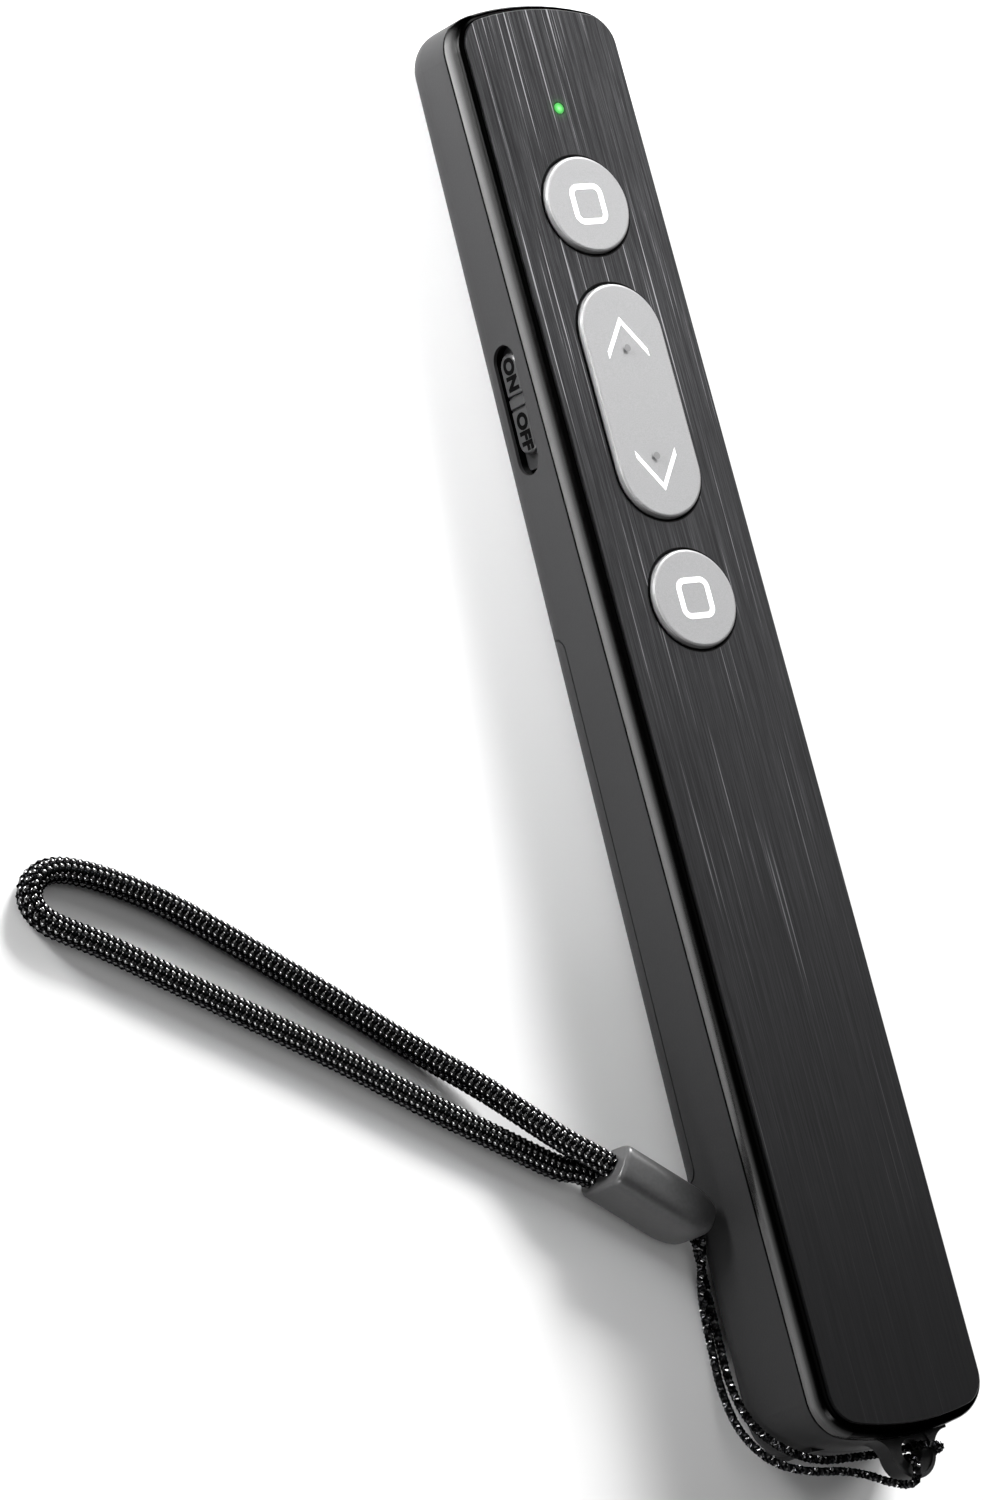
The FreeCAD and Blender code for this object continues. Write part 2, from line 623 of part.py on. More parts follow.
def hollow_tub(body):
    """Hollows the tub to an even wall, with the same rounding inside."""
    name = body.Name
    cavity = new_sketch(body, name + "_cavity", offset="floor_thickness")
    slab(cavity, *grown(TUB, "-wall"), TUB_MIDDLE)
    pocket(body, cavity, up=True)
    inner = value("inner_half + seat_gap")

    def is_inner(edge):
        return max(abs(edge.BoundBox.XMin), abs(edge.BoundBox.XMax)) < inner

    round_edges(body, name + "_inner_round", "floor_thickness", "back_round - wall", choose=is_inner)


def door_outline(sketch, gap):
    """Side view of the door: flat back, with both upper corners of its sides rounded."""
    low = f"(door_low_y - {gap})"
    high = f"(door_high_y + {gap})"
    top = f"(door_side + {gap})"
    corner = "door_corner"
    outline(sketch, [(low, "-overrun"), (high, "-overrun"), (high, f"{top} - {corner}"),
                     (f"{high} - {corner}", top), (f"{low} + {corner}", top),
                     (low, f"{top} - {corner}")], {2: (corner, -1), 4: (corner, -1)})


def seam_line(name, body):
    """Cuts away what stands above the leaning parting plane."""
    reach = "(body_length + overrun)"
    at_seam = "(face_height - seam_depth / cosine)"
    above = new_sketch(body, name, role="YZ_Plane")
    outline(above, [(f"-{reach}", f"{at_seam} + {reach} * slope"),
                    (reach, f"{at_seam} - {reach} * slope"),
                    (reach, f"{TALL} + overrun"), (f"-{reach}", f"{TALL} + overrun")])
    pocket(body, above, both_ways=True)


def add_cell_bay(body):
    """Tray for the cell, its cross ribs and the landings that the door's ends lie under."""
    tray = new_sketch(body, "bay_tray", offset="door_clear")
    rectangle(tray, "-bay_outer", "bay_outer", "bay_low - bay_wall", "bay_high + bay_wall")
    rectangle(tray, "-bay_half", "bay_half", "bay_low", "bay_high")
    pad(body, tray, "bay_top - door_clear")
    for end, y in (("low", "(bay_low - bay_wall)"), ("high", "bay_high")):
        ribs = new_sketch(body, f"bay_rib_{end}", offset="door_side + door_gap * 2")
        for side in (-1, 1):
            rectangle(ribs, *sorted((f"{side} * (bay_outer - bay_wall / 2)",
                                     f"{side} * (inner_half + wall / 2)"), key=value),
                      y, f"{y} + bay_wall")
        pad(body, ribs, "bay_top - door_side - door_gap * 2")
    landings = new_sketch(body, "door_landings", offset="door_clear")
    low_edge = "(door_low_y - door_gap)"
    high_edge = "(door_high_y + door_gap)"
    rectangle(landings, "-landing_half", "landing_half", f"{low_edge} - landing_reach",
              "bay_low")
    rectangle(landings, "-landing_half", "landing_half", "bay_high",
              f"{high_edge} + landing_reach")
    pad(body, landings, "floor_thickness")
    ties = new_sketch(body, "landing_ties", offset="floor_thickness / 2")
    rectangle(ties, "-landing_half", "landing_half", f"{low_edge} - landing_reach",
              low_edge)
    rectangle(ties, "-landing_half", "landing_half", high_edge,
              f"{high_edge} + landing_reach")
    pad(body, ties, "floor_thickness")


def add_case_posts(body):
    """Two posts with sunk screw seats, hidden under the door."""
    posts = new_sketch(body, "case_posts", offset="door_clear")
    seats = new_sketch(body, "case_seats", offset="door_clear")
    holes = new_sketch(body, "case_holes", offset="door_clear")
    boss_end = "(face_height - case_screw_y * slope - case_boss_depth / cosine)"
    for side in (-1, 1):
        circle(posts, "case_boss_radius", f"{side} * case_screw_x", "case_screw_y")
        circle(seats, "screw_head_radius + screw_gap", f"{side} * case_screw_x", "case_screw_y")
        circle(holes, "screw_shank_radius + screw_gap", f"{side} * case_screw_x", "case_screw_y")
    pad(body, posts, f"{boss_end} - case_boss_gap - door_clear")
    pocket(body, seats, "screw_head_height", up=True)
    pocket(body, holes, up=True)


def add_receiver_bay(body):
    """Sleeve behind the lower end face that the plug-in receiver slides into."""
    half = "(receiver_width / 2 + receiver_gap)"
    depth = "(receiver_depth + plug_length + receiver_end_gap)"
    sides = (f"-({half} + receiver_box_wall)", f"{half} + receiver_box_wall")
    back = f"end_y + {depth} + receiver_box_wall"
    foot = new_sketch(body, "receiver_foot", offset="floor_thickness / 2")
    rectangle(foot, *sides, "end_y + back_round / 2", back)
    pad(body, foot, "back_round / 2")
    sleeve = new_sketch(body, "receiver_sleeve", offset="back_round / 2")
    rectangle(sleeve, *sides, "end_y + wall / 2", back)
    pad(body, sleeve, "receiver_high + receiver_gap + receiver_box_wall - back_round / 2")
    mouth = new_sketch(body, "receiver_mouth", role="XZ_Plane", offset=f"-(end_y + {depth})")
    rectangle(mouth, f"-{half}", half, "receiver_low - receiver_gap", "receiver_high + receiver_gap",
              "receiver_corner")
    pocket(body, mouth, f"{depth} + overrun", up=True)


def add_switch_slot(body):
    slot = new_sketch(body, "switch_slot", role="YZ_Plane", offset="-body_width / 2 - overrun")
    lying_stadium(slot, "(slot_length / 2)", "(slot_height / 2)", "slot_y", "slot_z")
    pocket(body, slot, "wall + overrun * 1.5", up=True)


def add_strap_lug(body):
    """Eye at the lower end, blended into the end face by two hollow flares."""
    reach = "((lug_root_y - lug_y) * -1 + lug_radius)"
    share = f"({reach} / lug_root_half)"
    cosine = f"(2 * {share} / (1 + {share}^2))"
    sine = f"((1 - {share}^2) / (1 + {share}^2))"
    flare = f"(lug_root_half / {cosine} - lug_radius)"
    touch_x = f"(lug_radius * {cosine})"
    touch_y = f"(-lug_y - lug_radius * {sine})"
    root_in = "(-lug_root_y + wall)"
    lug = new_sketch(body, "lug_outline", offset="-lug_front", leaning=True)
    outline(lug, [("lug_x - lug_root_half", root_in), ("lug_x - lug_root_half", "-lug_root_y"),
                  (f"lug_x - {touch_x}", touch_y), ("lug_x", "-lug_y - lug_radius"),
                  (f"lug_x + {touch_x}", touch_y), ("lug_x + lug_root_half", "-lug_root_y"),
                  ("lug_x + lug_root_half", root_in)],
            {1: (flare, 1), 2: ("lug_radius", -1), 3: ("lug_radius", -1), 4: (flare, 1)})
    pad(body, lug, "lug_thickness", down=True)
    recess = new_sketch(body, "lug_recess", offset="-lug_front", leaning=True)
    circle(recess, "lug_radius - lug_rim", "lug_x", "-lug_y")
    pocket(body, recess, "lug_recess")
    eye = new_sketch(body, "lug_eye", leaning=True)
    circle(eye, "lug_hole_radius", "lug_x", "-lug_y")
    pocket(body, eye)


def make_rear_housing():
    body = new_body("rear_housing")
    solid_tub(body)
    seam_line("parting_plane", body)
    hollow_tub(body)
    opening = new_sketch(body, "door_opening", role="YZ_Plane")
    door_outline(opening, "door_gap")
    pocket(body, opening, both_ways=True)
    add_cell_bay(body)
    add_case_posts(body)
    add_receiver_bay(body)
    add_switch_slot(body)
    add_strap_lug(body)
    keep(body, BACK)


def make_battery_door():
    """Door that wraps round both back edges, with guides beside the cell's tray."""
    body = new_body("battery_door")
    solid_tub(body)
    hollow_tub(body)
    around = new_sketch(body, "door_surround", role="YZ_Plane")
    rectangle(around, "low_end_y - overrun", "top_end_y + overrun", "-overrun * 2",
              f"{TALL} + overrun")
    door_outline(around, "0")
    pocket(body, around, both_ways=True)
    guides = new_sketch(body, "door_guides", offset="floor_thickness / 2")
    for side in (-1, 1):
        for share in (0.25, 0.75):
            middle = f"(bay_low + (bay_high - bay_low) * {share})"
            rectangle(guides, *sorted((f"{side} * (bay_outer + guide_gap)",
                                       f"{side} * (bay_outer + guide_gap + bay_wall)"), key=value),
                      f"{middle} - guide_length / 2", f"{middle} + guide_length / 2")
    pad(body, guides, "guide_reach")
    grip = new_sketch(body, "door_grip")
    lying_stadium(grip, "(grip_length / 2)", "(grip_width / 2)", "0", "door_high_y - grip_width * 2")
    pocket(body, grip, "grip_depth", up=True)
    keep(body, BACK)


def make_case_screws():
    screws = []
    for number, side in enumerate((-1, 1), start=1):
        x = f"{side} * case_screw_x"
        seat = "door_clear + screw_head_height"
        head = rod(f"case_head_{number}", "screw_head_radius", "screw_head_height - screw_gap", x,
                   "case_screw_y", "door_clear + screw_gap")
        shank = rod(f"case_shank_{number}", "screw_shank_radius", "case_screw_length", x,
                    "case_screw_y", seat)
        screws.append(fuse(f"case_screw_{number}", [head, shank]))
    keep(group("housing_screws", screws), BACK)


# Battery cell and its contacts

def make_battery_cell():
    can = rod("cell_can", "cell_diameter / 2", "cell_length - cell_nub_length", y="cell_low",
              z="cell_axis", axis="y")
    nub = rod("cell_nub", "cell_nub_radius", "cell_length", y="cell_low", z="cell_axis", axis="y")
    keep(fuse("battery_cell", [can, nub]), BACK)


def board_level(y):
    """Height over the back of the board's upper face at one place along it."""
    return f"(face_height - {y} * slope - board_top / cosine)"


def make_positive_contact():
    """Plate before the cell's tip, with a tail over the bay's end onto the board."""
    level = f"({board_level('board_low_y')} + contact_gap)"
    low = "(door_side - overrun / 2)"
    start = "(cell_tip_y + contact_gap)"
    far = "(board_low_y + tail_width)"
    plate = block("positive_plate", "contact_width", "contact_thickness",
                  f"{level} + contact_thickness - {low}",
                  y=f"{start} + contact_thickness / 2", z=low)
    tail = block("positive_tail", "tail_width", f"{far} - {start}", "contact_thickness",
                 y=f"({far} + {start}) / 2", z=level)
    keep(fuse("positive_contact", [plate, tail]), BACK)


def make_negative_contact():
    """Plate with a bowed leaf that presses on the cell's flat end."""
    body = new_body("negative_contact")
    leaf = new_sketch(body, "leaf_outline", role="YZ_Plane")
    back = "(bay_low + contact_gap)"
    face = f"({back} + contact_thickness)"
    over = "(bow_half_chord + contact_thickness)"
    radius = "((bow_half_chord^2 + bow_depth^2) / (2 * bow_depth))"
    inner = f"({radius} - bow_thickness)"
    inner_half = f"sqrt({inner}^2 - ({radius} - bow_depth)^2)"
    outline(leaf, [(back, f"cell_axis - {over}"), (face, f"cell_axis - {over}"),
                   (face, "cell_axis - bow_half_chord"), (face, "cell_axis + bow_half_chord"),
                   (face, f"cell_axis + {over}"), (back, f"cell_axis + {over}")],
            {2: (radius, -1)})
    outline(leaf, [(face, f"cell_axis - {inner_half}"), (face, f"cell_axis + {inner_half}")],
            {0: (inner, -1)})
    pad(body, leaf, "contact_width", both_ways=True)
    keep(body, BACK)


def make_return_strip():
    """Strip from the negative contact, along the tray's wall and over its end, to the board."""
    level = f"({board_level('board_low_y')} + contact_gap)"
    side = "(bay_half + bay_wall / 2)"
    low = "(bay_low + contact_gap)"
    turn = "(bay_high + bay_wall / 2)"
    near = "(tail_width + strip_width * 2)"
    far = "(board_low_y + tail_width / 2)"
    half = "strip_width / 2"
    runs = [block("strip_side", "strip_width", f"{turn} - {low}", "strip_width", x=side,
                  y=f"({turn} + {low}) / 2", z=level),
            block("strip_over", f"{side} - {near} + strip_width", "strip_width", "strip_width",
                  x=f"({side} + {near}) / 2", y=f"{turn} - {half}", z=level),
            block("strip_board", "strip_width", f"{far} - {turn} + strip_width", "strip_width",
                  x=near, y=f"({far} + {turn} - strip_width) / 2", z=level),
            block("strip_end", f"{side} - contact_width / 2 + {half}", "contact_thickness",
                  "strip_width", x=f"({side} + contact_width / 2 + {half}) / 2",
                  y=f"{low} + contact_thickness / 2", z=level)]
    keep(fuse("return_strip", runs), BACK)


# Power switch: knob in the wall's slot, lever, and a slide switch under the board

def make_power_knob():
    body = new_body("power_switch_knob")
    outer = "(body_width / 2 - knob_recess)"
    flange_out = "(inner_half - knob_run_gap)"
    knob = new_sketch(body, "knob_outline", role="YZ_Plane", offset=f"-{outer}")
    lying_stadium(knob, "(knob_length / 2)", "(knob_height / 2)", "knob_y", "slot_z")
    pad(body, knob, f"{outer} - {flange_out} + knob_flange")
    round_edges(body, "knob_edge", f"-{outer}", "knob_bevel", "PartDesign::Chamfer", axis="X")
    flange = new_sketch(body, "knob_flange_outline", role="YZ_Plane", offset=f"-{flange_out}")
    rim = "(knob_height / 2 + knob_flange_rim)"
    long_rim = "(knob_length / 2 + knob_flange_rim * 2)"
    rectangle(flange, f"knob_y - {long_rim}", f"knob_y + {long_rim}", f"slot_z - {rim}",
              f"slot_z + {rim}", "knob_flange_rim")
    pad(body, flange, "knob_flange")
    grooves = new_sketch(body, "knob_grooves", role="YZ_Plane", offset=f"-{outer}")
    for side in (-1, 1):
        middle = f"(knob_y + knob_groove_width / 2 + {side} * knob_groove_spread / 2)"
        rectangle(grooves, f"{middle} - knob_groove_width / 2", f"{middle} + knob_groove_width / 2",
                  "slot_z - knob_height / 2 - overrun", "slot_z + knob_height / 2 + overrun")
    pocket(body, grooves, "knob_groove", up=True)
    notch = new_sketch(body, "knob_notch", role="YZ_Plane", offset=f"-({flange_out} - knob_flange)")
    rectangle(notch, "knob_y - lever_width / 2 - knob_run_gap / 2",
              "knob_y + lever_width / 2 + knob_run_gap / 2",
              "slot_z - lever_height / 2 - knob_run_gap / 2",
              "slot_z + lever_height / 2 + knob_run_gap / 2")
    pocket(body, notch, "knob_flange + knob_run_gap")
    keep(body, BACK)


SWITCH_FACE = "(board_width / 2 - switch_inset)"


def make_power_switch():
    """Slide switch under the board, with the lever that the knob carries along."""
    low = "(board_under + switch_body_height)"
    middle = "(knob_y * cosine + (face_height - slot_z) * sine - knob_travel / 2)"
    case = block("power_case", "switch_body_width", "switch_body_length", "switch_body_height",
                 x=f"-{SWITCH_FACE} + switch_body_width / 2", y=middle, z=f"-{low}")
    depth = "((face_height - slot_z) * cosine - knob_y * sine)"
    track = block("power_track", "lever_depth * 2 + lever_gap * 2",
                  "knob_travel + lever_width + lever_gap * 2",
                  "lever_height + lever_gap * 2", x=f"-{SWITCH_FACE}", y=middle,
                  z=f"-{depth} - lever_height / 2 - lever_gap")
    keep(cut("power_switch_body", case, track), FRONT)
    reach = f"(inner_half - {SWITCH_FACE} + lever_depth - knob_run_gap)"
    keep(block("power_switch_lever", reach, "lever_width", "lever_height",
               x=f"-{SWITCH_FACE} + lever_depth - {reach} / 2", y="knob_y",
               z="slot_z - lever_height / 2"), BACK)


# Receiver that stows in the lower end

RECEIVER_FACE = "(end_y + receiver_depth)"
PLUG_AXIS = "((receiver_low + receiver_high) / 2)"


def make_receiver_cap():
    """Grip of the receiver: the piece of the end face that comes out with it."""
    body = new_body("receiver_cap")
    solid_tub(body)
    around = new_sketch(body, "cap_surround", role="XZ_Plane")
    rectangle(around, "-body_width / 2 - overrun", "body_width / 2 + overrun", "-overrun",
              f"{TALL} + overrun")
    rectangle(around, "-receiver_width / 2", "receiver_width / 2", "receiver_low", "receiver_high",
              "(receiver_corner - receiver_gap)")
    pocket(body, around, both_ways=True)
    behind = new_sketch(body, "cap_back", offset="-overrun")
    rectangle(behind, "-body_width / 2 - overrun", "body_width / 2 + overrun", RECEIVER_FACE,
              "top_end_y + overrun")
    pocket(body, behind, up=True)
    keep(body, BACK)


def make_receiver_plug():
    """Metal shell with the contact tongue, open at its inner end."""
    outer = block("plug_outer", "plug_width", "plug_length", "plug_height",
                  y=f"{RECEIVER_FACE} + plug_length / 2", z=f"{PLUG_AXIS} - plug_height / 2")
    hollow = block("plug_hollow", "plug_width - plug_wall * 2", "plug_length + overrun",
                   "plug_height - plug_wall * 2",
                   y=f"{RECEIVER_FACE} + (plug_length + overrun) / 2",
                   z=f"{PLUG_AXIS} - plug_height / 2 + plug_wall")
    keep(cut("receiver_shell", outer, hollow), BACK)
    top = f"({PLUG_AXIS} + plug_height / 2 - plug_wall - tongue_gap)"
    keep(block("receiver_tongue", "plug_width - plug_wall * 2 - tongue_gap * 2",
               "plug_length - plug_wall * 2", "tongue_height",
               y=f"{RECEIVER_FACE} + plug_length / 2 - plug_wall", z=f"{top} - tongue_height"), BACK)
    pads = [block(f"receiver_pad_{number}", "pad_width", "pad_length", "pad_thickness",
                  x=f"({number} - 2.5) * pad_pitch", y=f"{RECEIVER_FACE} + plug_length - pad_length / 2"
                  " - plug_wall * 3", z=f"{top} - tongue_height - pad_thickness")
            for number in (1, 2, 3, 4)]
    keep(group("receiver_contacts", pads), BACK)


# Wrist strap: connector, round cord and the thin string that is hitched through the lug

def make_strap_connector():
    """Rounded bar, widest where the cord enters, that narrows to a round nose for the string."""
    body = new_body("strap_connector")
    sections = []
    for number, (along, wide, high, bend) in enumerate(CONNECTOR_SHARES, start=1):
        section = new_sketch(body, f"connector_section_{number}", role="YZ_Plane",
                             offset=f"connector_length * {along}")
        half = f"(connector_width / 2 * {wide})"
        rise = f"(connector_height / 2 * {high})"
        rectangle(section, f"-{half}", half, f"-{rise}", rise, f"(connector_round * {bend})")
        sections.append(section)
    loft = body.newObject("PartDesign::AdditiveLoft", "connector_loft")
    loft.Profile = sections[0]
    loft.Sections = sections[1:]
    loft.Ruled = True
    doc.recompute()
    heading = math.degrees(math.atan2(value("connector_aside"), value("connector_ahead")))
    body.Placement = FreeCAD.Placement(vector("connector_x", "connector_y", "connector_height / 2"),
                                       FreeCAD.Rotation(FreeCAD.Vector(0, 0, 1), heading))
    keep(body, BACK)


# Points of the cord's middle line, from the connector round the loop and back, chosen by hand.
CORD_POINTS = [(-23.7, -46.82, 4.84), (-25.55, -45.46, 4.77), (-27.82, -43.7, 4.1),
               (-31.32, -40.38, 3.2), (-35.72, -36.1, 2.1), (-42.6, -31.2, 1.4), (-51.8, -24.6, 1.4),
               (-61.0, -18.3, 1.4), (-69.7, -12.5, 1.4), (-75.9, -9.5, 1.4), (-80.1, -7.95, 1.4),
               (-83.4, -7.35, 1.4), (-85.9, -8.2, 1.4), (-87.0, -10.2, 1.4), (-86.1, -12.3, 1.4),
               (-83.7, -13.8, 1.4), (-79.6, -15.6, 1.4), (-71.5, -20.3, 1.4), (-61.4, -26.0, 1.4),
               (-51.6, -31.6, 1.4), (-42.57, -37.33, 1.4), (-36.23, -40.9, 1.4), (-31.07, -43.92, 1.45),
               (-27.71, -45.95, 1.6), (-25.46, -46.35, 1.94), (-24.05, -47.31, 1.98)]
STRING_POINTS = [(-13.23, -54.8, 3.3), (-12.39, -55.41, 3.28), (-12.25, -57.2, 2.6),
                 (-12.35, -59.9, 1.3), (-12.4, -63.0, 0.6), (-12.6, -67.6, 0.6), (-13.2, -72.2, 1.2),
                 (-13.8, -77.0, 3.2), (-12.7, -81.0, 5.8), (-9.6, -82.9, 8.0), (-6.0, -83.4, 8.9),
                 (-2.9, -84.35, 9.2), (-1.5, -85.95, 11.2), (0.15, -86.85, 13.3), (0.65, -83.55, 13.4),
                 (0.75, -83.55, 9.2), (5.15, -83.45, 9.2), (5.2, -83.2, 13.3), (1.9, -82.5, 13.35),
                 (1.85, -82.5, 9.4), (-3.9, -82.3, 9.3), (-8.7, -81.95, 8.4), (-11.4, -79.8, 6.5),
                 (-12.5, -76.3, 3.6), (-12.0, -71.6, 1.3), (-11.35, -67.2, 0.6), (-11.3, -62.4, 0.6),
                 (-11.4, -59.6, 0.75), (-11.9, -57.1, 1.4), (-12.39, -55.41, 2.08),
                 (-13.23, -54.8, 2.1)]
BEND_SHARE = 0.45


def make_cord(name, places, size_name):
    """A tube along straight runs joined by tangent arcs, each as large as its two runs allow."""
    radius = value(size_name) / 2
    points = [FreeCAD.Vector(*place) for place in places]
    edges = []
    start = points[0]
    radii = []
    for before, corner, after in zip(points, points[1:], points[2:]):
        coming = (corner - before).normalize()
        going = (after - corner).normalize()
        turn = coming.getAngle(going)
        trim = BEND_SHARE * min((corner - before).Length, (after - corner).Length)
        bend = trim / math.tan(turn / 2)
        radii.append(bend)
        inward = (going - coming).normalize()
        first = corner - coming * trim
        last = corner + going * trim
        middle = corner + inward * (bend / math.cos(turn / 2) - bend)
        edges.append(Part.LineSegment(start, first).toShape())
        edges.append(Part.Arc(first, middle, last).toShape())
        start = last
    edges.append(Part.LineSegment(start, points[-1]).toShape())
    path = Part.Wire(edges)
    ring = Part.Wire(Part.Circle(points[0], points[1] - points[0], radius).toShape())
    tube = path.makePipeShell([ring], True, False)
    expected = math.pi * radius * radius * path.Length
    print(f"{name}: length {path.Length:.1f}, least radius {min(radii):.2f}, "
          f"volume {tube.Volume:.1f} of {expected:.1f}")
    print(f"{name} radii: " + " ".join(f"{bend:.1f}" for bend in radii))
    item = doc.addObject("Part::Feature", name)
    item.Shape = tube
    keep(item, BACK)


make_face_plate()
make_plate_tape()
make_front_cover()
make_round_key("top_button", "top_key_y")
make_page_key()
make_round_key("bottom_button", "bottom_key_y")
make_key_switches()
make_circuit_board()
make_board_parts()
make_board_screws()
make_rear_housing()
make_battery_door()
make_case_screws()
make_battery_cell()
make_positive_contact()
make_negative_contact()
make_return_strip()
make_power_knob()
make_power_switch()
make_receiver_cap()
make_receiver_plug()
make_strap_connector()
make_cord("wrist_cord", CORD_POINTS, "cord_diameter")
make_cord("string_loop", STRING_POINTS, "string_diameter")
doc.recompute()

for item in doc.Objects:
    if "Invalid" in item.State or "Error" in item.State:
        raise ValueError(f"{item.Label} failed: {item.State}")
for node in NODES:
    if node.Shape.isNull() or not node.Shape.isValid():
        raise ValueError(f"{node.Label} has no valid shape")
os.makedirs("parts", exist_ok=True)
for node in NODES:
    node.Shape.exportStep(os.path.join("parts", node.Label + ".step"))
print(len(NODES), "nodes")
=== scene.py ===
"""A slim wireless presentation clicker with its wrist strap, dressed over its CAD frame."""

import math

import bmesh
import bpy
from mathutils import Matrix, Vector


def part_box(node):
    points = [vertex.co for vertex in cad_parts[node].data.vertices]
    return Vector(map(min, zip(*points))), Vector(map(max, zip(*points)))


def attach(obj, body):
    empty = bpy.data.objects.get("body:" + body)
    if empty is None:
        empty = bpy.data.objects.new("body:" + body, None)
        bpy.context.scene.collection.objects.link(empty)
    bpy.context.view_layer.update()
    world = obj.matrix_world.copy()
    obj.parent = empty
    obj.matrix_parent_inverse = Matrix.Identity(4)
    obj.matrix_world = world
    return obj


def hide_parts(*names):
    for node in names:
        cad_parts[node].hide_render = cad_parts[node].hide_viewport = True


bl_info = {
    "name": "Presentation Clicker",
    "version": (1, 0, 0),
    "blender": (4, 5, 0),
    "location": "View3D > Sidebar > Clicker",
    "description": "Dresses the clicker's CAD frame with its finishes, signs, strap and studio",
    "category": "Add Mesh",
}

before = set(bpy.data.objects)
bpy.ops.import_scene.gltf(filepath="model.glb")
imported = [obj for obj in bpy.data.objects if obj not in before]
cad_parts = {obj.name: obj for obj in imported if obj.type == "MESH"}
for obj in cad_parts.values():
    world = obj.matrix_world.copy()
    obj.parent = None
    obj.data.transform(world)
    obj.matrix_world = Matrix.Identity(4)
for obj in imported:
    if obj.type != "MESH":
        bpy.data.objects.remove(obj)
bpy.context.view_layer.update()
MM = 0.001

# Places along the face from the plate's middle, all in millimetres.
TOP_KEY, PAGE_KEY, BOTTOM_KEY = 57.31, 34.6, 11.86
STATUS_LIGHT = 68.7

# Round ends and straight half of the keys' openings in the plate, in millimetres.
OPENING_RADIUS = 5.98
PAGE_KEY_HALF_RUN = 7.9

# Heights of a key's top and shoulder over the face, and depth of the parting line under it; the
# key's flank below the shoulder and the housing above the parting line are painted dark as shade.
KEY_TOP = 0.59
KEY_SHOULDER = 0.47
PARTING_LINE = 2.97

# Two corners of the hollow behind the power switch's slot, painted black as shade, in millimetres.
SLOT_SHADE_BOX = ((-11.12, 27.0, 2.5), (-9.0, 47.0, 8.5))

# Thickness of a printed sign and how deep it is set in its key, in metres.
PRINT_DEPTH = 0.03 * MM
PRINT_SEAT = 0.01 * MM

# Points closer than this are one point, in metres.
WELD = 0.002 * MM


class ClickerSizes(bpy.types.PropertyGroup):
    """Sizes that the dressed pieces share with the frame."""

    face_lean: bpy.props.FloatProperty(
        name="Face lean", description="How far the face leans down towards the top end",
        default=math.atan(4.82 / 160.7), subtype="ANGLE", unit="ROTATION")
    face_height: bpy.props.FloatProperty(
        name="Face height", description="Height of the plate's face at its middle",
        default=13.0517 * MM, subtype="DISTANCE", unit="LENGTH")
    middle_shift: bpy.props.FloatProperty(
        name="Middle shift", description="Place of the plate's middle along the clicker",
        default=2.4114 * MM, subtype="DISTANCE", unit="LENGTH")
    cord_diameter: bpy.props.FloatProperty(
        name="Cord diameter", description="Diameter of the braided wrist cord",
        default=2.75 * MM, subtype="DISTANCE", unit="LENGTH")
    string_diameter: bpy.props.FloatProperty(
        name="String diameter", description="Diameter of the thin string",
        default=0.95 * MM, subtype="DISTANCE", unit="LENGTH")


class ClickerColours(bpy.types.PropertyGroup):
    """Base colours of the main finishes."""

    plate: bpy.props.FloatVectorProperty(
        name="Plate", description="Brushed face plate", default=(0.022, 0.022, 0.023),
        size=3, subtype="COLOR")
    bezel: bpy.props.FloatVectorProperty(
        name="Bezel", description="Glossy rim round the plate", default=(0.006, 0.006, 0.007),
        size=3, subtype="COLOR")
    body: bpy.props.FloatVectorProperty(
        name="Body", description="Matte housing and door", default=(0.0155, 0.0155, 0.016),
        size=3, subtype="COLOR")
    keys: bpy.props.FloatVectorProperty(
        name="Keys", description="Silver key paint", default=(0.23, 0.23, 0.233),
        size=3, subtype="COLOR")
    signs: bpy.props.FloatVectorProperty(
        name="Signs", description="Signs printed on the keys", default=(0.95, 0.95, 0.95),
        size=3, subtype="COLOR")
    light: bpy.props.FloatVectorProperty(
        name="Status light", description="Colour of the lit status light",
        default=(0.02, 0.75, 0.06), size=3, subtype="COLOR")
    cord: bpy.props.FloatVectorProperty(
        name="Cord", description="Yarn of the wrist cord", default=(0.006, 0.006, 0.0065),
        size=3, subtype="COLOR")


def sizes():
    """The sizes as they stand in the scene."""
    return bpy.context.scene.clicker_sizes


def colours():
    """The colours as they stand in the scene."""
    return bpy.context.scene.clicker_colours


def face_frame():
    """Places a shape drawn on the plate's face, with z = 0 on the face, on the clicker."""
    size = sizes()
    return (Matrix.Translation((0, size.middle_shift, size.face_height))
            @ Matrix.Rotation(-size.face_lean, 4, "X"))


# Finishes

class Socket:
    """A node's output, on which Python's operators add Math nodes."""

    def __init__(self, finish, output):
        self.finish = finish
        self.output = output

    def math(self, operation, *values):
        return self.finish.node("ShaderNodeMath", {"operation": operation},
                                dict(enumerate(values)))

    def __add__(self, other):
        return self.math("ADD", self, other)

    def __radd__(self, other):
        return self.math("ADD", other, self)

    def __sub__(self, other):
        return self.math("SUBTRACT", self, other)

    def __rsub__(self, other):
        return self.math("SUBTRACT", other, self)

    def __mul__(self, other):
        return self.math("MULTIPLY", self, other)

    def __rmul__(self, other):
        return self.math("MULTIPLY", other, self)

    def __gt__(self, other):
        return self.math("GREATER_THAN", self, other)

    def __lt__(self, other):
        return self.math("LESS_THAN", self, other)


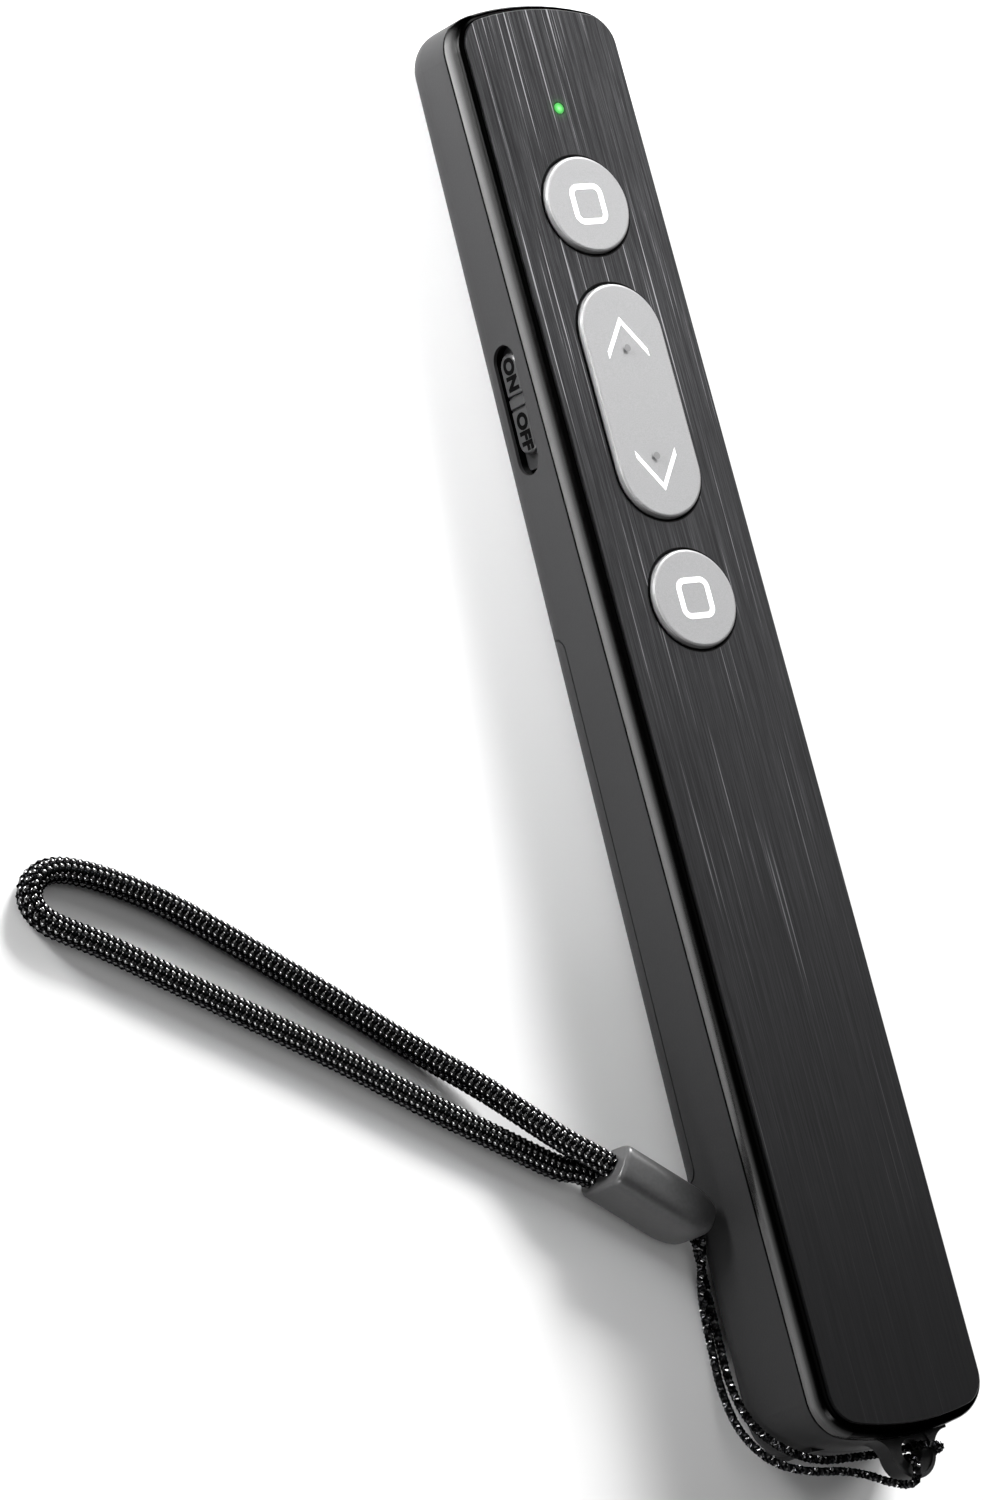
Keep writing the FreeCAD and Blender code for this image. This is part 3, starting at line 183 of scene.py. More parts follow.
class Finish:
    """A material in the making: its nodes and its shader."""

    def __init__(self, name, colour, **uniform):
        self.material = bpy.data.materials.new(name)
        self.material.use_nodes = True
        self.tree = self.material.node_tree
        self.shader = self.tree.nodes["Principled BSDF"]
        self.shader.inputs["Base Color"].default_value = (*colour, 1)
        for socket, value in uniform.items():
            title = socket.replace("_", " ").title().replace("Ior", "IOR")
            self.shader.inputs[title].default_value = value

    def node(self, kind, settings=None, sockets=None, output=0):
        """Adds a node: its settings first, then the values or links of its sockets."""
        made = self.tree.nodes.new(kind)
        for setting, value in (settings or {}).items():
            if setting == "stops":
                while len(made.color_ramp.elements) < len(value):
                    made.color_ramp.elements.new(1)
                for stop, (place, tint) in zip(made.color_ramp.elements, value):
                    stop.position = place
                    stop.color = (*tint, 1)
            else:
                setattr(made, setting, value)
        for socket, value in (sockets or {}).items():
            if isinstance(value, Socket):
                self.tree.links.new(value.output, made.inputs[socket])
            else:
                made.inputs[socket].default_value = value
        return Socket(self, made.outputs[output])

    def feed(self, socket, value):
        """Links a value that changes over the surface to the shader."""
        self.tree.links.new(value.output, self.shader.inputs[socket])

    def spot(self, scale=(1, 1, 1), shift=(0, 0, 0)):
        """Object coordinates, in metres, scaled and shifted by a Mapping node."""
        place = self.node("ShaderNodeTexCoord", output=3)
        return self.node("ShaderNodeMapping", {}, {0: place, 1: shift, 3: scale})

    def axis(self, number):
        """One object coordinate, in metres: 0 runs across, 1 along and 2 upward."""
        return self.node("ShaderNodeSeparateXYZ", {}, {0: self.spot()}, number)

    def noise(self, place, scale, detail=2.0, rough=0.5):
        """Noise from 0..1 at a place."""
        return self.node("ShaderNodeTexNoise", {}, {"Vector": place, "Scale": scale,
                                                    "Detail": detail, "Roughness": rough})

    def ramp(self, factor, *stops):
        """A colour that follows the factor through the stops, each a place and a grey or colour."""
        colours_at = [(place, (tint,) * 3 if isinstance(tint, float) else tint)
                      for place, tint in stops]
        return self.node("ShaderNodeValToRGB", {"stops": colours_at}, {"Fac": factor})

    def blend(self, factor, first, second):
        """Mixes two colours."""
        return self.node("ShaderNodeMix", {"data_type": "RGBA"},
                         {0: factor, 6: first, 7: second}, 2)

    def level(self, value, low, high):
        """Takes a factor from 0..1 to low..high."""
        return value * (high - low) + low

    def eased(self, value, start, end, low, high):
        """Takes a value between start and end to low..high and holds it outside them."""
        return self.node("ShaderNodeMapRange", {}, {"Value": value, "From Min": start,
                                                    "From Max": end, "To Min": low, "To Max": high})

    def below_face(self):
        """Distance under the plate's face in millimetres, less than zero above it."""
        lean = sizes().face_lean
        outward = Vector((0, math.sin(lean), math.cos(lean)))
        upward = self.node("ShaderNodeVectorMath", {"operation": "DOT_PRODUCT"},
                           {0: self.spot(), 1: outward}, 1)
        face = (face_frame().translation @ outward) / MM
        return face - upward * (1 / MM)

    def within(self, low, high):
        """One inside a box whose corners are given in millimetres, zero outside it."""
        inside = 1.0
        for number, (least, most) in enumerate(zip(low, high)):
            place = self.axis(number)
            inside = (place > least * MM) * (place < most * MM) * inside
        return inside

    def bump(self, height, distance, strength):
        """Raises the surface by a height from 0..1 times the distance in metres."""
        self.feed("Normal", self.node("ShaderNodeBump", {}, {
            "Strength": strength, "Distance": distance, "Height": height}))


def shade(colour, factor):
    """A colour made darker or lighter by a factor."""
    return tuple(min(1.0, part * factor) for part in colour)


def brushed_plate():
    """Dark anodised metal, brushed lengthwise, with glints painted on its streaks, strongest
    towards the top end, and the status light's glow painted on as emission.
    """
    base = tuple(colours().plate)
    finish = Finish("brushed_plate", base, metallic=1.0, emission_strength=1.0)
    painted_sheen = finish.eased(finish.axis(1), -0.08, 0.06, 0.12, 1.0)
    fine = finish.noise(finish.spot((3900, 80, 0)), 1.0, 4.0, 0.85)
    drawn = finish.noise(finish.spot((4500, 20, 0), (5, 4, 0)), 1.0, 3.0, 0.8)
    broad = finish.noise(finish.spot((900, 8, 0), (3, 1, 0)), 1.0, 1.0, 0.5)
    rare = finish.noise(finish.spot((3700, 30, 0), (7, 2, 0)), 1.0, 0.0)
    # The middle of the three noises together is taken off, so that the painted sheen spreads them
    # both ways.
    streak = (fine * 0.55 + drawn * 0.45 + broad * 0.05 - 0.525) * painted_sheen + 0.5
    scratch = finish.node("ShaderNodeClamp", {}, {0: (rare - 0.70) * 10.0})
    # The tone's bright end paints glints on the streaks, strongest towards the top end, as a
    # painted sheen; the rest is the brushing's own grain.
    tone = finish.ramp(streak + scratch * painted_sheen * 0.3, (0.34, shade(base, 0.3)),
                       (0.49, shade(base, 0.92)), (0.60, shade(base, 1.8)),
                       (0.76, shade(base, 9.0)))
    # Painted shade: the plate's cut edge round the keys' openings is painted black as the gap's
    # shade.
    gap_shade = (0.0005, 0.0005, 0.0005, 1)
    # The status light's glow on the plate is painted on as emission.
    glow_reach = 2.0
    glow = finish.ramp(status_light_distance(finish) * (1 / glow_reach),
                       (0.33, (0.0, 0.055, 0.002)), (0.62, (0.0, 0.008, 0.0)), (0.9, 0.0))
    finish.feed("Base Color", finish.blend(key_gap_shade(finish), tone, gap_shade))
    finish.feed("Roughness", finish.level(streak, 0.24, 0.46))
    finish.feed("Emission Color", glow)
    finish.bump(streak, 0.00002, 0.55)
    return finish.material


def key_gap_shade(finish):
    """One on the plate's cut edge round the keys' openings, painted black as the gap's shade, zero
    elsewhere on the plate.
    """
    across, along = finish.axis(0), finish.axis(1)
    rims = 0.0
    for centre, half_run in ((TOP_KEY, 0.0), (PAGE_KEY, PAGE_KEY_HALF_RUN), (BOTTOM_KEY, 0.0)):
        offset = along - (face_frame() @ Vector((0, centre * MM, 0))).y
        beyond = offset.math("MAXIMUM", offset.math("ABSOLUTE", offset) - half_run * MM, 0.0)
        rims = (across * across + beyond * beyond < (OPENING_RADIUS * MM) ** 2) + rims
    return rims


def status_light_distance(finish):
    """Distance from the status light's middle in millimetres."""
    centre = face_frame() @ Vector((0, STATUS_LIGHT * MM, 0))
    return finish.node("ShaderNodeVectorMath", {"operation": "DISTANCE"},
                       {0: finish.spot(), 1: centre}, 1) * (1 / MM)


def gloss_bezel():
    """Glossy black rim with painted reflectance: a painted reflection band on its steep side, black
    by the plate, and painted shade at both ends.
    """
    finish = Finish("gloss_bezel", tuple(colours().bezel), metallic=1.0,
                    specular_tint=(0.25, 0.25, 0.25, 1))
    ramp_reach = 4.0
    depth = finish.below_face() * (1 / ramp_reach)
    haze = finish.noise(finish.spot(), 2200.0, 3.0, 0.6)
    # The rim's reflectance is painted in bands by depth: a painted reflection band on the steep
    # side, black at the land and at the parting line.
    painted_reflection = finish.ramp(depth + haze * 0.01, (0.0, 0.002), (0.24, 0.003), (0.36, 0.045),
                           (0.50, 0.16), (0.66, 0.27), (0.695, 0.0))
    # Painted shade darkens the rim towards both ends.
    low_end, top_end = (corner[1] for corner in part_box("front_cover"))
    along = finish.axis(1)
    low = finish.eased(along, low_end + 1 * MM, low_end + 8 * MM, 0.3, 0.0)
    top = finish.eased(along, top_end - 4 * MM, top_end - 1 * MM, 0.0, 1.0)
    unlit = (0.003, 0.003, 0.003, 1)
    finish.feed("Base Color", finish.blend(low + top, painted_reflection, unlit))
    finish.feed("Roughness", finish.level(haze, 0.16, 0.26))
    finish.bump(haze, 0.000004, 0.3)
    return finish.material


def matte_body():
    """Spark-textured plastic, with painted shade in the parting line under the bezel and inside the
    slot.
    """
    base = tuple(colours().body)
    rough = 0.5
    finish = Finish("matte_body", base, roughness=rough, specular_ior_level=0.2)
    grain = finish.noise(finish.spot(), 3800.0, 2.0, 0.6)
    cloud = finish.noise(finish.spot(), 45.0, 2.0, 0.5)
    skin = finish.ramp(grain * 0.6 + cloud * 0.4, (0.35, shade(base, 0.85)),
                       (0.65, shade(base, 1.18)))
    # Painted shade: the parting line's gap and the hollow of the switch's slot are painted black
    # and metallic.
    parting_line_shade = finish.below_face() < PARTING_LINE
    dark = parting_line_shade.math("MAXIMUM", parting_line_shade, finish.within(*SLOT_SHADE_BOX))
    unlit = (0.001, 0.001, 0.001, 1)
    finish.feed("Base Color", finish.blend(dark, skin, unlit))
    finish.feed("Metallic", dark)
    finish.feed("Roughness", finish.level(grain, rough - 0.06, rough + 0.08))
    finish.bump(grain, 0.000022, 0.5)
    return finish.material


def silver_key(name="silver_key", factor=1.0):
    """Satin silver paint with a fine metal flake, darkened by the factor, its flank painted darker
    as shade.
    """
    base = shade(tuple(colours().keys), factor)
    finish = Finish(name, base, metallic=0.1, roughness=0.46)
    flake = finish.noise(finish.spot(), 9000.0, 1.0, 0.5)
    # Painted shade: the key's flank below the shoulder takes the paint darkened.
    flank_shade = finish.below_face() > -KEY_SHOULDER
    paint = finish.ramp(flake, (0.35, shade(base, 0.93)), (0.65, shade(base, 1.07)))
    finish.feed("Base Color", finish.blend(flank_shade, paint, (*shade(base, 0.4), 1)))
    finish.feed("Roughness", finish.level(flake, 0.36, 0.50))
    finish.bump(flake, 0.000006, 0.4)
    return finish.material


def sign_print():
    """White ink with faint wear."""
    finish = Finish("sign_print", tuple(colours().signs), roughness=0.45)
    wear = finish.noise(finish.spot(), 2500.0, 2.0)
    finish.feed("Base Color", finish.ramp(wear, (0.3, 0.90), (0.6, 0.97)))
    return finish.material


def plain_finish(name, colour, rough, **uniform):
    """A finish with a fine grain in its colour, roughness and surface."""
    spread = 0.12
    finish = Finish(name, colour, roughness=rough, **uniform)
    grain = finish.noise(finish.spot(), 2500.0, 2.0, 0.55)
    finish.feed("Base Color", finish.ramp(grain, (0.3, shade(colour, 1 - spread)),
                                          (0.7, shade(colour, 1 + spread))))
    finish.feed("Roughness", finish.level(grain, max(0.03, rough - 0.06), rough + 0.06))
    finish.bump(grain, 0.00001, 0.4)
    return finish.material


def yarn(name, base, crown_sheen, crossings):
    """Glossy filament yarn whose reflectance is painted brighter on its crown, where it passes over
    another yarn, as a painted sheen.
    """
    finish = Finish(name, base, metallic=1.0, roughness=0.2, specular_tint=(0.05, 0.05, 0.05, 1))
    own_map = finish.node("ShaderNodeTexCoord", output=2)
    along = finish.node("ShaderNodeSeparateXYZ", {}, {0: own_map})
    wave = along * (math.pi * crossings)
    crown = wave.math("COSINE", wave)
    ply = finish.noise(finish.spot(), 6500.0, 2.0, 0.6)
    finish.feed("Base Color", finish.ramp(crown * 0.8 + ply * 0.4, (0.45, base), (0.95, crown_sheen)))
    finish.feed("Roughness", finish.level(ply, 0.14, 0.3))
    finish.bump(ply, 0.00001, 0.15)
    return finish.material


# Shapes

def edges_in(geometry):
    """The edges among what an operator gives back."""
    return [item for item in geometry if isinstance(item, bmesh.types.BMEdge)]


def points_in(geometry):
    """The points among what an operator gives back."""
    return [item for item in geometry if isinstance(item, bmesh.types.BMVert)]


def section(bm, points):
    """Edges through a few points, open, as the start of a swept shape."""
    made = [bm.verts.new(point) for point in points]
    return [bm.edges.new(pair) for pair in zip(made, made[1:])]


def carry(bm, edges, move):
    """Extrudes edges by one move and gives the new ones."""
    geometry = bmesh.ops.extrude_edge_only(bm, edges=edges)["geom"]
    fresh = set(points_in(geometry))
    bmesh.ops.translate(bm, verts=list(fresh), vec=move)
    return [edge for edge in edges_in(geometry) if all(end in fresh for end in edge.verts)]


def swing(bm, edges, centre, angle, steps):
    """Spins edges round an upright axis through the centre and gives the last ones."""
    ends = list({end for edge in edges for end in edge.verts})
    geometry = bmesh.ops.spin(bm, geom=ends + edges, cent=centre, axis=(0, 0, 1), angle=angle,
                              steps=steps, use_duplicate=False, use_merge=False)["geom_last"]
    return edges_in(geometry)


def put(name, mesh, material, body, smooth=0.6):
    """Links a finished mesh as a piece that rides on a body."""
    item = bpy.data.objects.new(name, mesh)
    bpy.context.scene.collection.objects.link(item)
    if material is not None:
        mesh.materials.clear()
        mesh.materials.append(material)
    mesh.shade_smooth()
    mesh.set_sharp_from_angle(angle=smooth)
    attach(item, body)
    return item


def finished(bm, name, place):
    """Turns a bmesh into a mesh, welded, facing outwards and in its place."""
    bmesh.ops.remove_doubles(bm, verts=bm.verts, dist=WELD)
    bmesh.ops.recalc_face_normals(bm, faces=bm.faces)
    bmesh.ops.transform(bm, matrix=place, verts=bm.verts)
    mesh = bpy.data.meshes.new(name)
    bm.to_mesh(mesh)
    bm.free()
    return mesh


def dress(material, *nodes):
    """Gives CAD nodes a finish."""
    for node in nodes:
        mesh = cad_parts[node].data
        mesh.materials.clear()
        mesh.materials.append(material)


# Route of the wrist cord and of the string, in metres from the plate's middle.
CORD_ROUTE = [
    (-0.0237, -0.04682, 0.00484), (-0.02555, -0.04546, 0.00477), (-0.02782, -0.0437, 0.0041),
    (-0.03132, -0.04038, 0.0032), (-0.03572, -0.0361, 0.0021), (-0.0426, -0.0312, 0.0014),
    (-0.0518, -0.0246, 0.0014), (-0.061, -0.0183, 0.0014), (-0.0697, -0.0125, 0.0014),
    (-0.0759, -0.0095, 0.0014), (-0.0801, -0.00795, 0.0014), (-0.0834, -0.00735, 0.0014),
    (-0.0859, -0.0082, 0.0014), (-0.087, -0.0102, 0.0014), (-0.0861, -0.0123, 0.0014),
    (-0.0837, -0.0138, 0.0014), (-0.0796, -0.0156, 0.0014), (-0.0715, -0.0203, 0.0014),
    (-0.0614, -0.026, 0.0014), (-0.0516, -0.0316, 0.0014), (-0.04257, -0.03733, 0.0014),
    (-0.03623, -0.0409, 0.0014), (-0.03107, -0.04392, 0.00145), (-0.02771, -0.04595, 0.0016),
    (-0.02546, -0.04635, 0.00194), (-0.02405, -0.04731, 0.00198)]
STRING_ROUTE = [
    (-0.01323, -0.0548, 0.0033), (-0.01239, -0.05541, 0.00328), (-0.01225, -0.0572, 0.0026),
    (-0.01235, -0.0599, 0.0013), (-0.0124, -0.063, 0.0006), (-0.0126, -0.0676, 0.0006),
    (-0.0132, -0.0722, 0.0012), (-0.0138, -0.077, 0.0032), (-0.0127, -0.081, 0.0058),
    (-0.0096, -0.0829, 0.008), (-0.006, -0.0834, 0.0089), (-0.0029, -0.08435, 0.0092),
    (-0.0015, -0.08595, 0.0112), (0.00015, -0.08685, 0.0133), (0.00065, -0.08355, 0.0134),
    (0.00075, -0.08355, 0.0092), (0.00515, -0.08345, 0.0092), (0.0052, -0.0832, 0.0133),
    (0.0019, -0.0825, 0.01335), (0.00185, -0.0825, 0.0094), (-0.0039, -0.0823, 0.0093),
    (-0.0087, -0.08195, 0.0084), (-0.0114, -0.0798, 0.0065), (-0.0125, -0.0763, 0.0036),
    (-0.012, -0.0716, 0.0013), (-0.01135, -0.0672, 0.0006), (-0.0113, -0.0624, 0.0006),
    (-0.0114, -0.0596, 0.00075), (-0.0119, -0.0571, 0.0014), (-0.01239, -0.05541, 0.00208),
    (-0.01323, -0.0548, 0.0021)]


def route_line(route, spacing):
    """Evenly spaced points on the smooth line of a route, and the line's length."""
    curve = bpy.data.curves.new("route", "CURVE")
    curve.dimensions = "3D"
    curve.resolution_u = 24
    spline = curve.splines.new("NURBS")
    spline.points.add(len(route) - 1)
    for point, place in zip(spline.points, route):
        point.co = (place[0], place[1] + sizes().middle_shift, place[2], 1)
    spline.order_u = 3
    spline.use_endpoint_u = True
    holder = bpy.data.objects.new("route", curve)
    mesh = bpy.data.meshes.new_from_object(holder)
    line = [point.co.copy() for point in mesh.vertices]
    bpy.data.objects.remove(holder)
    bpy.data.curves.remove(curve)
    bpy.data.meshes.remove(mesh)
    runs = [(after - before).length for before, after in zip(line, line[1:])]
    length = sum(runs)
    count = round(length / spacing)
    even = [line[0]]
    index, passed = 0, 0.0
    for step in range(1, count):
        target = length * step / count
        while passed + runs[index] < target:
            passed += runs[index]
            index += 1
        even.append(line[index].lerp(line[index + 1], (target - passed) / runs[index]))
    even.append(line[-1])
    return even, length


def side_pairs(line):
    """Two directions square to the line at each point, turning with it as little as possible."""
    pairs = []
    ahead = (line[1] - line[0]).normalized()
    side = ahead.orthogonal().normalized()
    for number, point in enumerate(line):
        before = line[max(number - 1, 0)]
        after = line[min(number + 1, len(line) - 1)]
        ahead = (after - before).normalized()
        side = (side - ahead * side.dot(ahead)).normalized()
        pairs.append((side, ahead.cross(side)))
    return pairs


def thread(curve, places):
    """Adds a straight-segment spline through the places to a curve."""
    spline = curve.splines.new("POLY")
    spline.points.add(len(places) - 1)
    spline.points.foreach_set("co", [part for place in places for part in (*place, 1)])
    return spline


def braid(name, route, diameter, strands, pitch, steps, sides, bright, dark):
    """A round braid: yarns wind both ways round the line and pass over and under each other.

    Bright and dark make the finishes of the yarns of the two ways from the count of crossings; the
    dark way is a shaded copy of the bright one, as painted light."""
    crossings = 2 * strands
    line, length = route_line(route, pitch / (crossings * steps))
    pairs = side_pairs(line)
    yarn_radius = diameter / strands
    swell = yarn_radius * 0.55
    middle = diameter / 2 - yarn_radius - swell * 0.6
    core_radius = middle * 0.92
    curve = bpy.data.curves.new(name, "CURVE")
    curve.dimensions = "3D"
    curve.bevel_depth = yarn_radius
    curve.bevel_resolution = sides
    curve.use_fill_caps = True
    passed = (len(line) - 1) / steps
    for finish in (bright(passed), dark(passed)):
        curve.materials.append(finish)
    for way in (1, -1):
        for strand in range(strands):
            places = []
            for number, (point, (side, up)) in enumerate(zip(line, pairs)):
                turns = number / (crossings * steps)
                angle = 2 * math.pi * (way * turns + strand / strands)
                reach = middle + way * swell * math.cos(math.pi * crossings * turns)
                places.append(point + side * (math.cos(angle) * reach)
                              + up * (math.sin(angle) * reach))
            thread(curve, places).material_index = (1 - way) // 2
    core = thread(curve, line)
    core.points.foreach_set("radius", [core_radius / yarn_radius] * len(line))
    core.material_index = 1
    holder = bpy.data.objects.new(name, curve)
    mesh = bpy.data.meshes.new_from_object(holder)
    bpy.data.objects.remove(holder)
    bpy.data.curves.remove(curve)
    mesh.name = name
    item = put(name, mesh, None, "clicker", smooth=1.2)
    return item, line, length


def connector_shape():
    """The strap's connector along +Z from its cord end: a rounded block with a round nose."""
    half_wide, half_high, length = 2.55 * MM, 3.85 * MM, 13.0 * MM
    flare_end, nose_start = 0.05, 0.70
    cord_end_share, nose_share = (0.86, 0.90), (0.52, 0.76)
    bm = bmesh.new()
    bmesh.ops.create_circle(bm, cap_ends=True, segments=72, radius=1.0)
    for point in bm.verts:
        point.co = Vector((math.copysign(abs(point.co.x) ** 0.5, point.co.x) * half_wide,
                           math.copysign(abs(point.co.y) ** 0.42, point.co.y) * half_high, 0))
    stations = [flare_end * (1 - math.cos(step * math.pi / 16)) for step in range(9)]
    stations += [0.20, 0.36, 0.52, 0.68]
    stations += [nose_start + (1 - nose_start) * math.sin(step * math.pi / 28)
                 for step in range(1, 15)]
    edges = list(bm.edges)
    before = (1.0, 1.0)
    for last, place in zip([0.0] + stations, stations):
        flare = math.sqrt(1 - max(0.0, 1 - place / flare_end) ** 2)
        into_nose = min(1.0, max(0.0, (place - nose_start) / (1 - nose_start)))
        nose = math.sqrt(1 - into_nose ** 2)
        share = [(at_cord + (1 - at_cord) * flare) * (at_nose + (1 - at_nose) * nose)
                 for at_cord, at_nose in zip(cord_end_share, nose_share)]
        if place > last:
            edges = carry(bm, edges, (0, 0, (place - last) * length))
        ends = list({end for edge in edges for end in edge.verts})
        bmesh.ops.scale(bm, verts=ends, vec=(share[0] / before[0], share[1] / before[1], 1))
        before = share
    bmesh.ops.contextual_create(bm, geom=edges)
    return bm


class CLICKER_OT_plate(bpy.types.Operator):
    """Brushed face plate on its adhesive"""
    bl_idname = "clicker.plate"
    bl_label = "Face plate"

    def execute(self, context):
        dress(brushed_plate(), "face_plate")
        dress(plain_finish("adhesive", (0.30, 0.29, 0.26), 0.6), "plate_tape")
        return {"FINISHED"}


class CLICKER_OT_bezel(bpy.types.Operator):
    """Glossy front cover"""
    bl_idname = "clicker.bezel"
    bl_label = "Bezel"

    def execute(self, context):
        dress(gloss_bezel(), "front_cover")
        return {"FINISHED"}


class CLICKER_OT_housing(bpy.types.Operator):
    """Matte housing and battery door"""
    bl_idname = "clicker.housing"
    bl_label = "Housing and door"

    def execute(self, context):
        dress(matte_body(), "rear_housing", "battery_door", "receiver_cap")
        return {"FINISHED"}


def printed(bm):
    """Gives the flat faces of a sign the thickness of its print."""
    top = bmesh.ops.extrude_face_region(bm, geom=list(bm.faces))["geom"]
    bmesh.ops.translate(bm, verts=points_in(top), vec=(0, 0, PRINT_DEPTH))


def chevron(tip, reach, drop, stroke):
    """A printed chevron whose tip points along the way of its drop."""
    x, y = tip
    bm = bmesh.new()
    line = section(bm, [(x - reach, y - drop, 0), (x, y, 0), (x + reach, y - drop, 0)])
    wide = stroke / math.cos(math.atan2(abs(drop), reach))
    carry(bm, line, (0, -wide if drop > 0 else wide, 0))
    printed(bm)
    return bm


def key_dot():
    """A low domed nub."""
    bm = bmesh.new()
    bmesh.ops.create_circle(bm, cap_ends=True, segments=32, radius=0.42 * MM)
    crown = list(bm.faces)
    for step_in, step_up in ((0.05, 0.10), (0.10, 0.08), (0.12, 0.03)):
        bmesh.ops.inset_region(bm, faces=crown, thickness=step_in * MM, depth=step_up * MM)
    return bm


def rounded_square(half_x, half_y, corner, stroke):
    """A printed square outline with round corners, swept a quarter at a time."""
    bm = bmesh.new()
    edges = section(bm, [(half_x - stroke, corner - half_y, 0), (half_x, corner - half_y, 0)])
    quarter = Matrix.Rotation(-math.pi / 2, 3, "Z")
    for number in range(4):
        across, along = (half_x, half_y) if number % 2 == 0 else (half_y, half_x)
        edges = carry(bm, edges, (0, 2 * (along - corner), 0))
        edges = swing(bm, edges, (across - corner, along - corner, 0), math.pi / 2, 8)
        bmesh.ops.rotate(bm, verts=bm.verts, cent=(0, 0, 0), matrix=quarter)
    bmesh.ops.remove_doubles(bm, verts=bm.verts, dist=WELD)
    printed(bm)
    return bm


def set_on_key(name, bm, x, y, finish, body):
    """Sets a sign or nub on a key's top, at a place in millimetres, to move with the key."""
    place = face_frame() @ Matrix.Translation((x * MM, y * MM, KEY_TOP * MM - PRINT_SEAT))
    put(name, finished(bm, name, place), finish, body)


class CLICKER_OT_keys(bpy.types.Operator):
    """Silver keys with their printed signs"""
    bl_idname = "clicker.keys"
    bl_label = "Keys"

    def execute(self, context):
        dress(silver_key(), "top_button", "page_key", "bottom_button")
        ink = sign_print()
        # The nubs take the key paint darkened, as painted shade.
        shaded_nub_paint = silver_key("key_dot", 0.62)
        for name, tip, drop in (("page_up_sign", 44.17, 3.83), ("page_down_sign", 24.16, -3.9)):
            bm = chevron((-0.1 * MM, tip * MM), 2.8 * MM, drop * MM, 0.5 * MM)
            set_on_key(name, bm, 0, 0, ink, "page_rocker")
        for name, x, y in (("page_up_dot", -0.17, 40.54), ("page_down_dot", -0.16, 28.13)):
            set_on_key(name, key_dot(), x, y, shaded_nub_paint, "page_rocker")
        for name, y, body in (("top_sign", TOP_KEY, "top_key"),
                              ("bottom_sign", BOTTOM_KEY, "bottom_key")):
            bm = rounded_square(2.3 * MM, 2.35 * MM, 1.25 * MM, 0.66 * MM)
            set_on_key(name, bm, 0, y, ink, body)
        return {"FINISHED"}


class CLICKER_OT_status_light(bpy.types.Operator):
    """Lit status light"""
    bl_idname = "clicker.status_light"
    bl_label = "Status light"

    def execute(self, context):
        lit = Finish("light_lens", shade(tuple(colours().light), 0.1), roughness=0.25,
                     emission_strength=1.0)
        core = lit.ramp(status_light_distance(lit), (0.0, (0.40, 1.0, 0.40)),
                        (0.26, (0.10, 1.0, 0.12)), (0.45, (0.01, 0.42, 0.02)),
                        (0.72, (0.0, 0.07, 0.004)))
        lit.feed("Emission Color", core)
        dress(lit.material, "led_window")
        dress(plain_finish("led_chip", (0.7, 0.68, 0.5), 0.4), "status_led")
        return {"FINISHED"}


class CLICKER_OT_power_switch(bpy.types.Operator):
    """Power switch knob with its engraved words"""
    bl_idname = "clicker.power_switch"
    bl_label = "Power switch"

    def execute(self, context):
        dress(plain_finish("switch_knob", (0.013, 0.013, 0.0135), 0.34), "power_switch_knob",
              "power_switch_lever")
        dress(plain_finish("switch_case", (0.03, 0.03, 0.032), 0.4), "power_switch_body")
        # The engraved words are black letters set flush, painted in place of the shade in their
        # grooves.
        ink = plain_finish("engraving_shade", (0.001, 0.001, 0.001), 0.6, metallic=1.0)
        wall, height = -11.15 * MM, 5.32 * MM
        turn = Matrix(((0, 0, -1), (-1, 0, 0), (0, 1, 0))).to_4x4()
        for word, y in (("ON", 40.45), ("OFF", 34.0)):
            text = bpy.data.curves.new(word, "FONT")
            text.body = word
            text.align_x = "CENTER"
            text.align_y = "CENTER"
            text.size = 2.3 * MM
            text.space_character = 1.06
            text.offset = 0.13 * MM
            text.extrude = 0.02 * MM
            holder = bpy.data.objects.new(word, text)
            mesh = bpy.data.meshes.new_from_object(holder)
            bpy.data.objects.remove(holder)
            place = Matrix.Translation((wall, y * MM + sizes().middle_shift, height))
            mesh.transform(place @ turn)
            put(f"switch_word_{word.lower()}", mesh, ink, "power_knob")
        return {"FINISHED"}


class CLICKER_OT_inner_parts(bpy.types.Operator):
    """Board, switches, cell, contacts and screws"""
    bl_idname = "clicker.inner_parts"
    bl_label = "Inner parts"

    def execute(self, context):
        dress(plain_finish("board", (0.01, 0.09, 0.035), 0.35), "circuit_board")
        dress(plain_finish("chip", (0.015, 0.015, 0.016), 0.3), "radio_chip", "crystal")
        dress(plain_finish("tact_case", (0.03, 0.03, 0.032), 0.35),
              "top_switch", "page_up_switch", "page_down_switch", "bottom_switch")
        dress(plain_finish("tact_plunger", (0.35, 0.33, 0.28), 0.4),
              "top_plunger", "page_up_plunger", "page_down_plunger", "bottom_plunger")
        dress(plain_finish("cell_wrap", (0.05, 0.05, 0.055), 0.3), "battery_cell")
        dress(plain_finish("steel", (0.62, 0.60, 0.56), 0.28, metallic=1.0), "positive_contact",
              "negative_contact", "return_strip", "housing_screws", "board_screws")
        return {"FINISHED"}


class CLICKER_OT_receiver(bpy.types.Operator):
    """Plug of the stowed receiver"""
    bl_idname = "clicker.receiver"
    bl_label = "Receiver"

    def execute(self, context):
        dress(plain_finish("plug_shell", (0.6, 0.6, 0.6), 0.25, metallic=1.0), "receiver_shell")
        dress(plain_finish("plug_tongue", (0.9, 0.9, 0.88), 0.4), "receiver_tongue")
        dress(plain_finish("gold_pads", (0.85, 0.60, 0.22), 0.25, metallic=1.0),
              "receiver_contacts")
        return {"FINISHED"}


